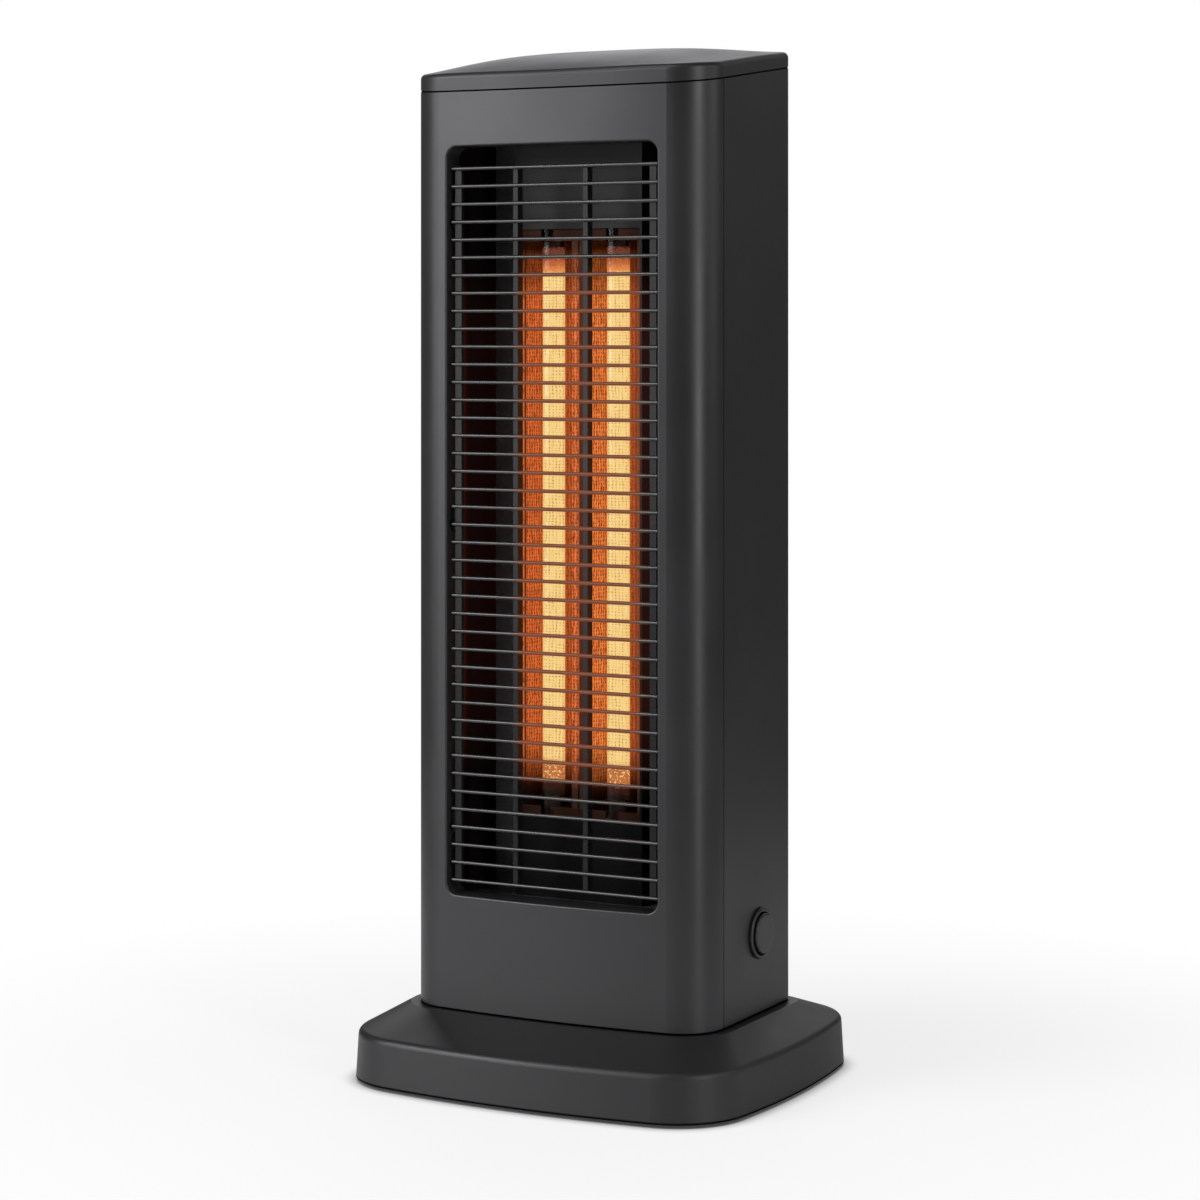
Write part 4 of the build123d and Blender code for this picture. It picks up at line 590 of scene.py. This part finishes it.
coating("steatite", (0.72, 0.69, 0.62), roughness=0.6, grain=0.8 * MM, depth=0.04 * MM).dress(
    "terminal_block")
coating("heat_stained_steatite", (0.20, 0.17, 0.14), roughness=0.7, grain=0.8 * MM, depth=0.04 * MM).dress(
    "ceramic_caps")
coating("silicone_sleeve", (0.62, 0.60, 0.55), roughness=0.6, grain=0.6 * MM).dress("heater_wires")
coating("dark_sleeve", (0.05, 0.05, 0.055), roughness=0.55, grain=0.6 * MM).dress("switch_wires")
coating("cast_iron_paint", grey(0.05), roughness=0.7, grain=2.0 * MM, depth=0.3 * MM).dress("base_weight")

# ---------------------------------------------------------------- floor and background
FLOOR_HALF = 3.0
FLOOR_ROUGHNESS = 0.65
FLOOR_FADE = (0.45, 1.3)
SHADOW_FADE = (0.15, 0.60)
SHADOW_SHARE = 0.25
CONTACT_REACH = 14 * MM
CONTACT_SHADOW_RANGE = (0.25, 0.95, 0.05, 1.0)
AMBIENT = 0.10


def lay_floor():
    """A white floor that fades out around the tower, with a painted contact shadow next to the base. Its cast
    shadow fades sooner, for the camera alone.
    """
    mesh = bpy.data.meshes.new("floor")
    low, high = -FLOOR_HALF, FLOOR_HALF
    corners = [(low, low, 0), (high, low, 0), (high, high, 0), (low, high, 0)]
    mesh.from_pydata(corners, [], [(0, 1, 2, 3)])
    floor = bpy.data.objects.new("floor", mesh)
    bpy.context.scene.collection.objects.link(floor)
    made = Surface("pale_floor", Base_Color=WHITE, Roughness=FLOOR_ROUGHNESS)
    length = made.node("VectorMath", Vector=made.place)
    length.operation = "LENGTH"
    distance = length.outputs["Value"]
    # Painted contact shadow: ambient occlusion dims the white paper around the base.
    contact = made.node("AmbientOcclusion", Distance=CONTACT_REACH).outputs["AO"]
    paper = made.node("Emission", Color=WHITE, Strength=made.span(contact, *CONTACT_SHADOW_RANGE))
    lit = made.math("SUBTRACT", 1.0, made.span(distance, *SHADOW_FADE, SHADOW_SHARE, 0.0))
    seen = made.node("LightPath").outputs["Is Camera Ray"]
    lifted = made.blend(made.math("MULTIPLY", seen, lit), made.shader, paper)
    through = made.node("BsdfTransparent", Color=WHITE)
    made.show(made.blend(made.span(distance, *FLOOR_FADE), lifted, through))
    mesh.materials.append(made.material)


def light_world():
    """A white background for the camera, and a dim even light for everything else."""
    world = bpy.data.worlds.new("studio")
    bpy.context.scene.world = world
    world.use_nodes = True
    tree = world.node_tree
    background = tree.nodes["Background"]
    background.inputs["Color"].default_value = (*WHITE, 1.0)
    rays = tree.nodes.new("ShaderNodeLightPath")
    strength = tree.nodes.new("ShaderNodeMapRange")
    tree.links.new(rays.outputs["Is Camera Ray"], strength.inputs["Value"])
    strength.inputs["To Min"].default_value = AMBIENT
    strength.inputs["To Max"].default_value = 1.0
    tree.links.new(strength.outputs["Result"], background.inputs["Strength"])


lay_floor()
light_world()

# ---------------------------------------------------------------- lamps
LAMP_TINT = (0.975, 0.98, 1.0)
LAMP_TARGET = Vector((0, 0, 0.3))

# name, bearing and elevation in degrees, distance, (width, height), power in watts
LAMPS = (
    ("key_high", -37, 26, 2.4, (1.1, 1.1), 29.6),
    ("key_low", -37, 0, 2.4, (1.0, 0.6), 6.4),
    ("key_near", -24, 12, 2.4, (0.8, 1.2), 4.5),
    ("key_far", -52, 14, 2.4, (0.9, 1.2), 8.3),
    ("edge_tall", 68, 10, 2.3, (0.35, 1.6), 13.3),
    ("edge_high", 68, 30, 2.3, (0.35, 0.8), 6.0),
    ("top_front", -25, 62, 2.4, (0.8, 0.8), 8.0),
    ("side_right", 110, 20, 2.4, (1.0, 1.3), 6.4),
    ("rear_left", -151, 26, 2.5, (1.6, 1.2), 8.8),
    ("rear_middle", 180, 22, 2.5, (1.4, 1.0), 3.3),
)


def softbox(name, bearing, elevation, distance, size, power):
    """An area lamp: bearing in degrees to the right of straight ahead of the front, aimed at the tower."""
    turn, rise = math.radians(bearing), math.radians(elevation)
    away = Vector((math.sin(turn) * math.cos(rise), -math.cos(turn) * math.cos(rise), math.sin(rise)))
    lamp = bpy.data.lights.new(name, "AREA")
    lamp.shape = "RECTANGLE"
    lamp.size, lamp.size_y = size
    lamp.energy = power
    lamp.color = LAMP_TINT
    placed = bpy.data.objects.new(name, lamp)
    placed.location = LAMP_TARGET + away * distance
    placed.rotation_euler = (-away).to_track_quat("-Z", "Y").to_euler()
    bpy.context.scene.collection.objects.link(placed)


for lamp_values in LAMPS:
    softbox(*lamp_values)

# ---------------------------------------------------------------- camera
# Focal length and frame shift are shares of the frame's width, both first measured in its pixels.
FRAME_PIXELS = 1200.0
FOCAL_PIXELS = 3114.4
RISE_PIXELS = 275.0
SENSOR_WIDTH = 36.0
CAMERA_BEARING = 0.4863
CAMERA_PLACE = (0.86215, -1.63384, 0.44176)

camera_data = bpy.data.cameras.new("camera")
camera_data.sensor_width = SENSOR_WIDTH
camera_data.lens = SENSOR_WIDTH * (FOCAL_PIXELS / FRAME_PIXELS)
camera_data.shift_y = -RISE_PIXELS / FRAME_PIXELS
camera = bpy.data.objects.new("camera", camera_data)
camera.location = CAMERA_PLACE
camera.rotation_euler = (math.pi / 2, 0, CAMERA_BEARING)
bpy.context.scene.collection.objects.link(camera)
bpy.context.scene.camera = camera
bpy.context.scene.view_settings.view_transform = "Standard"
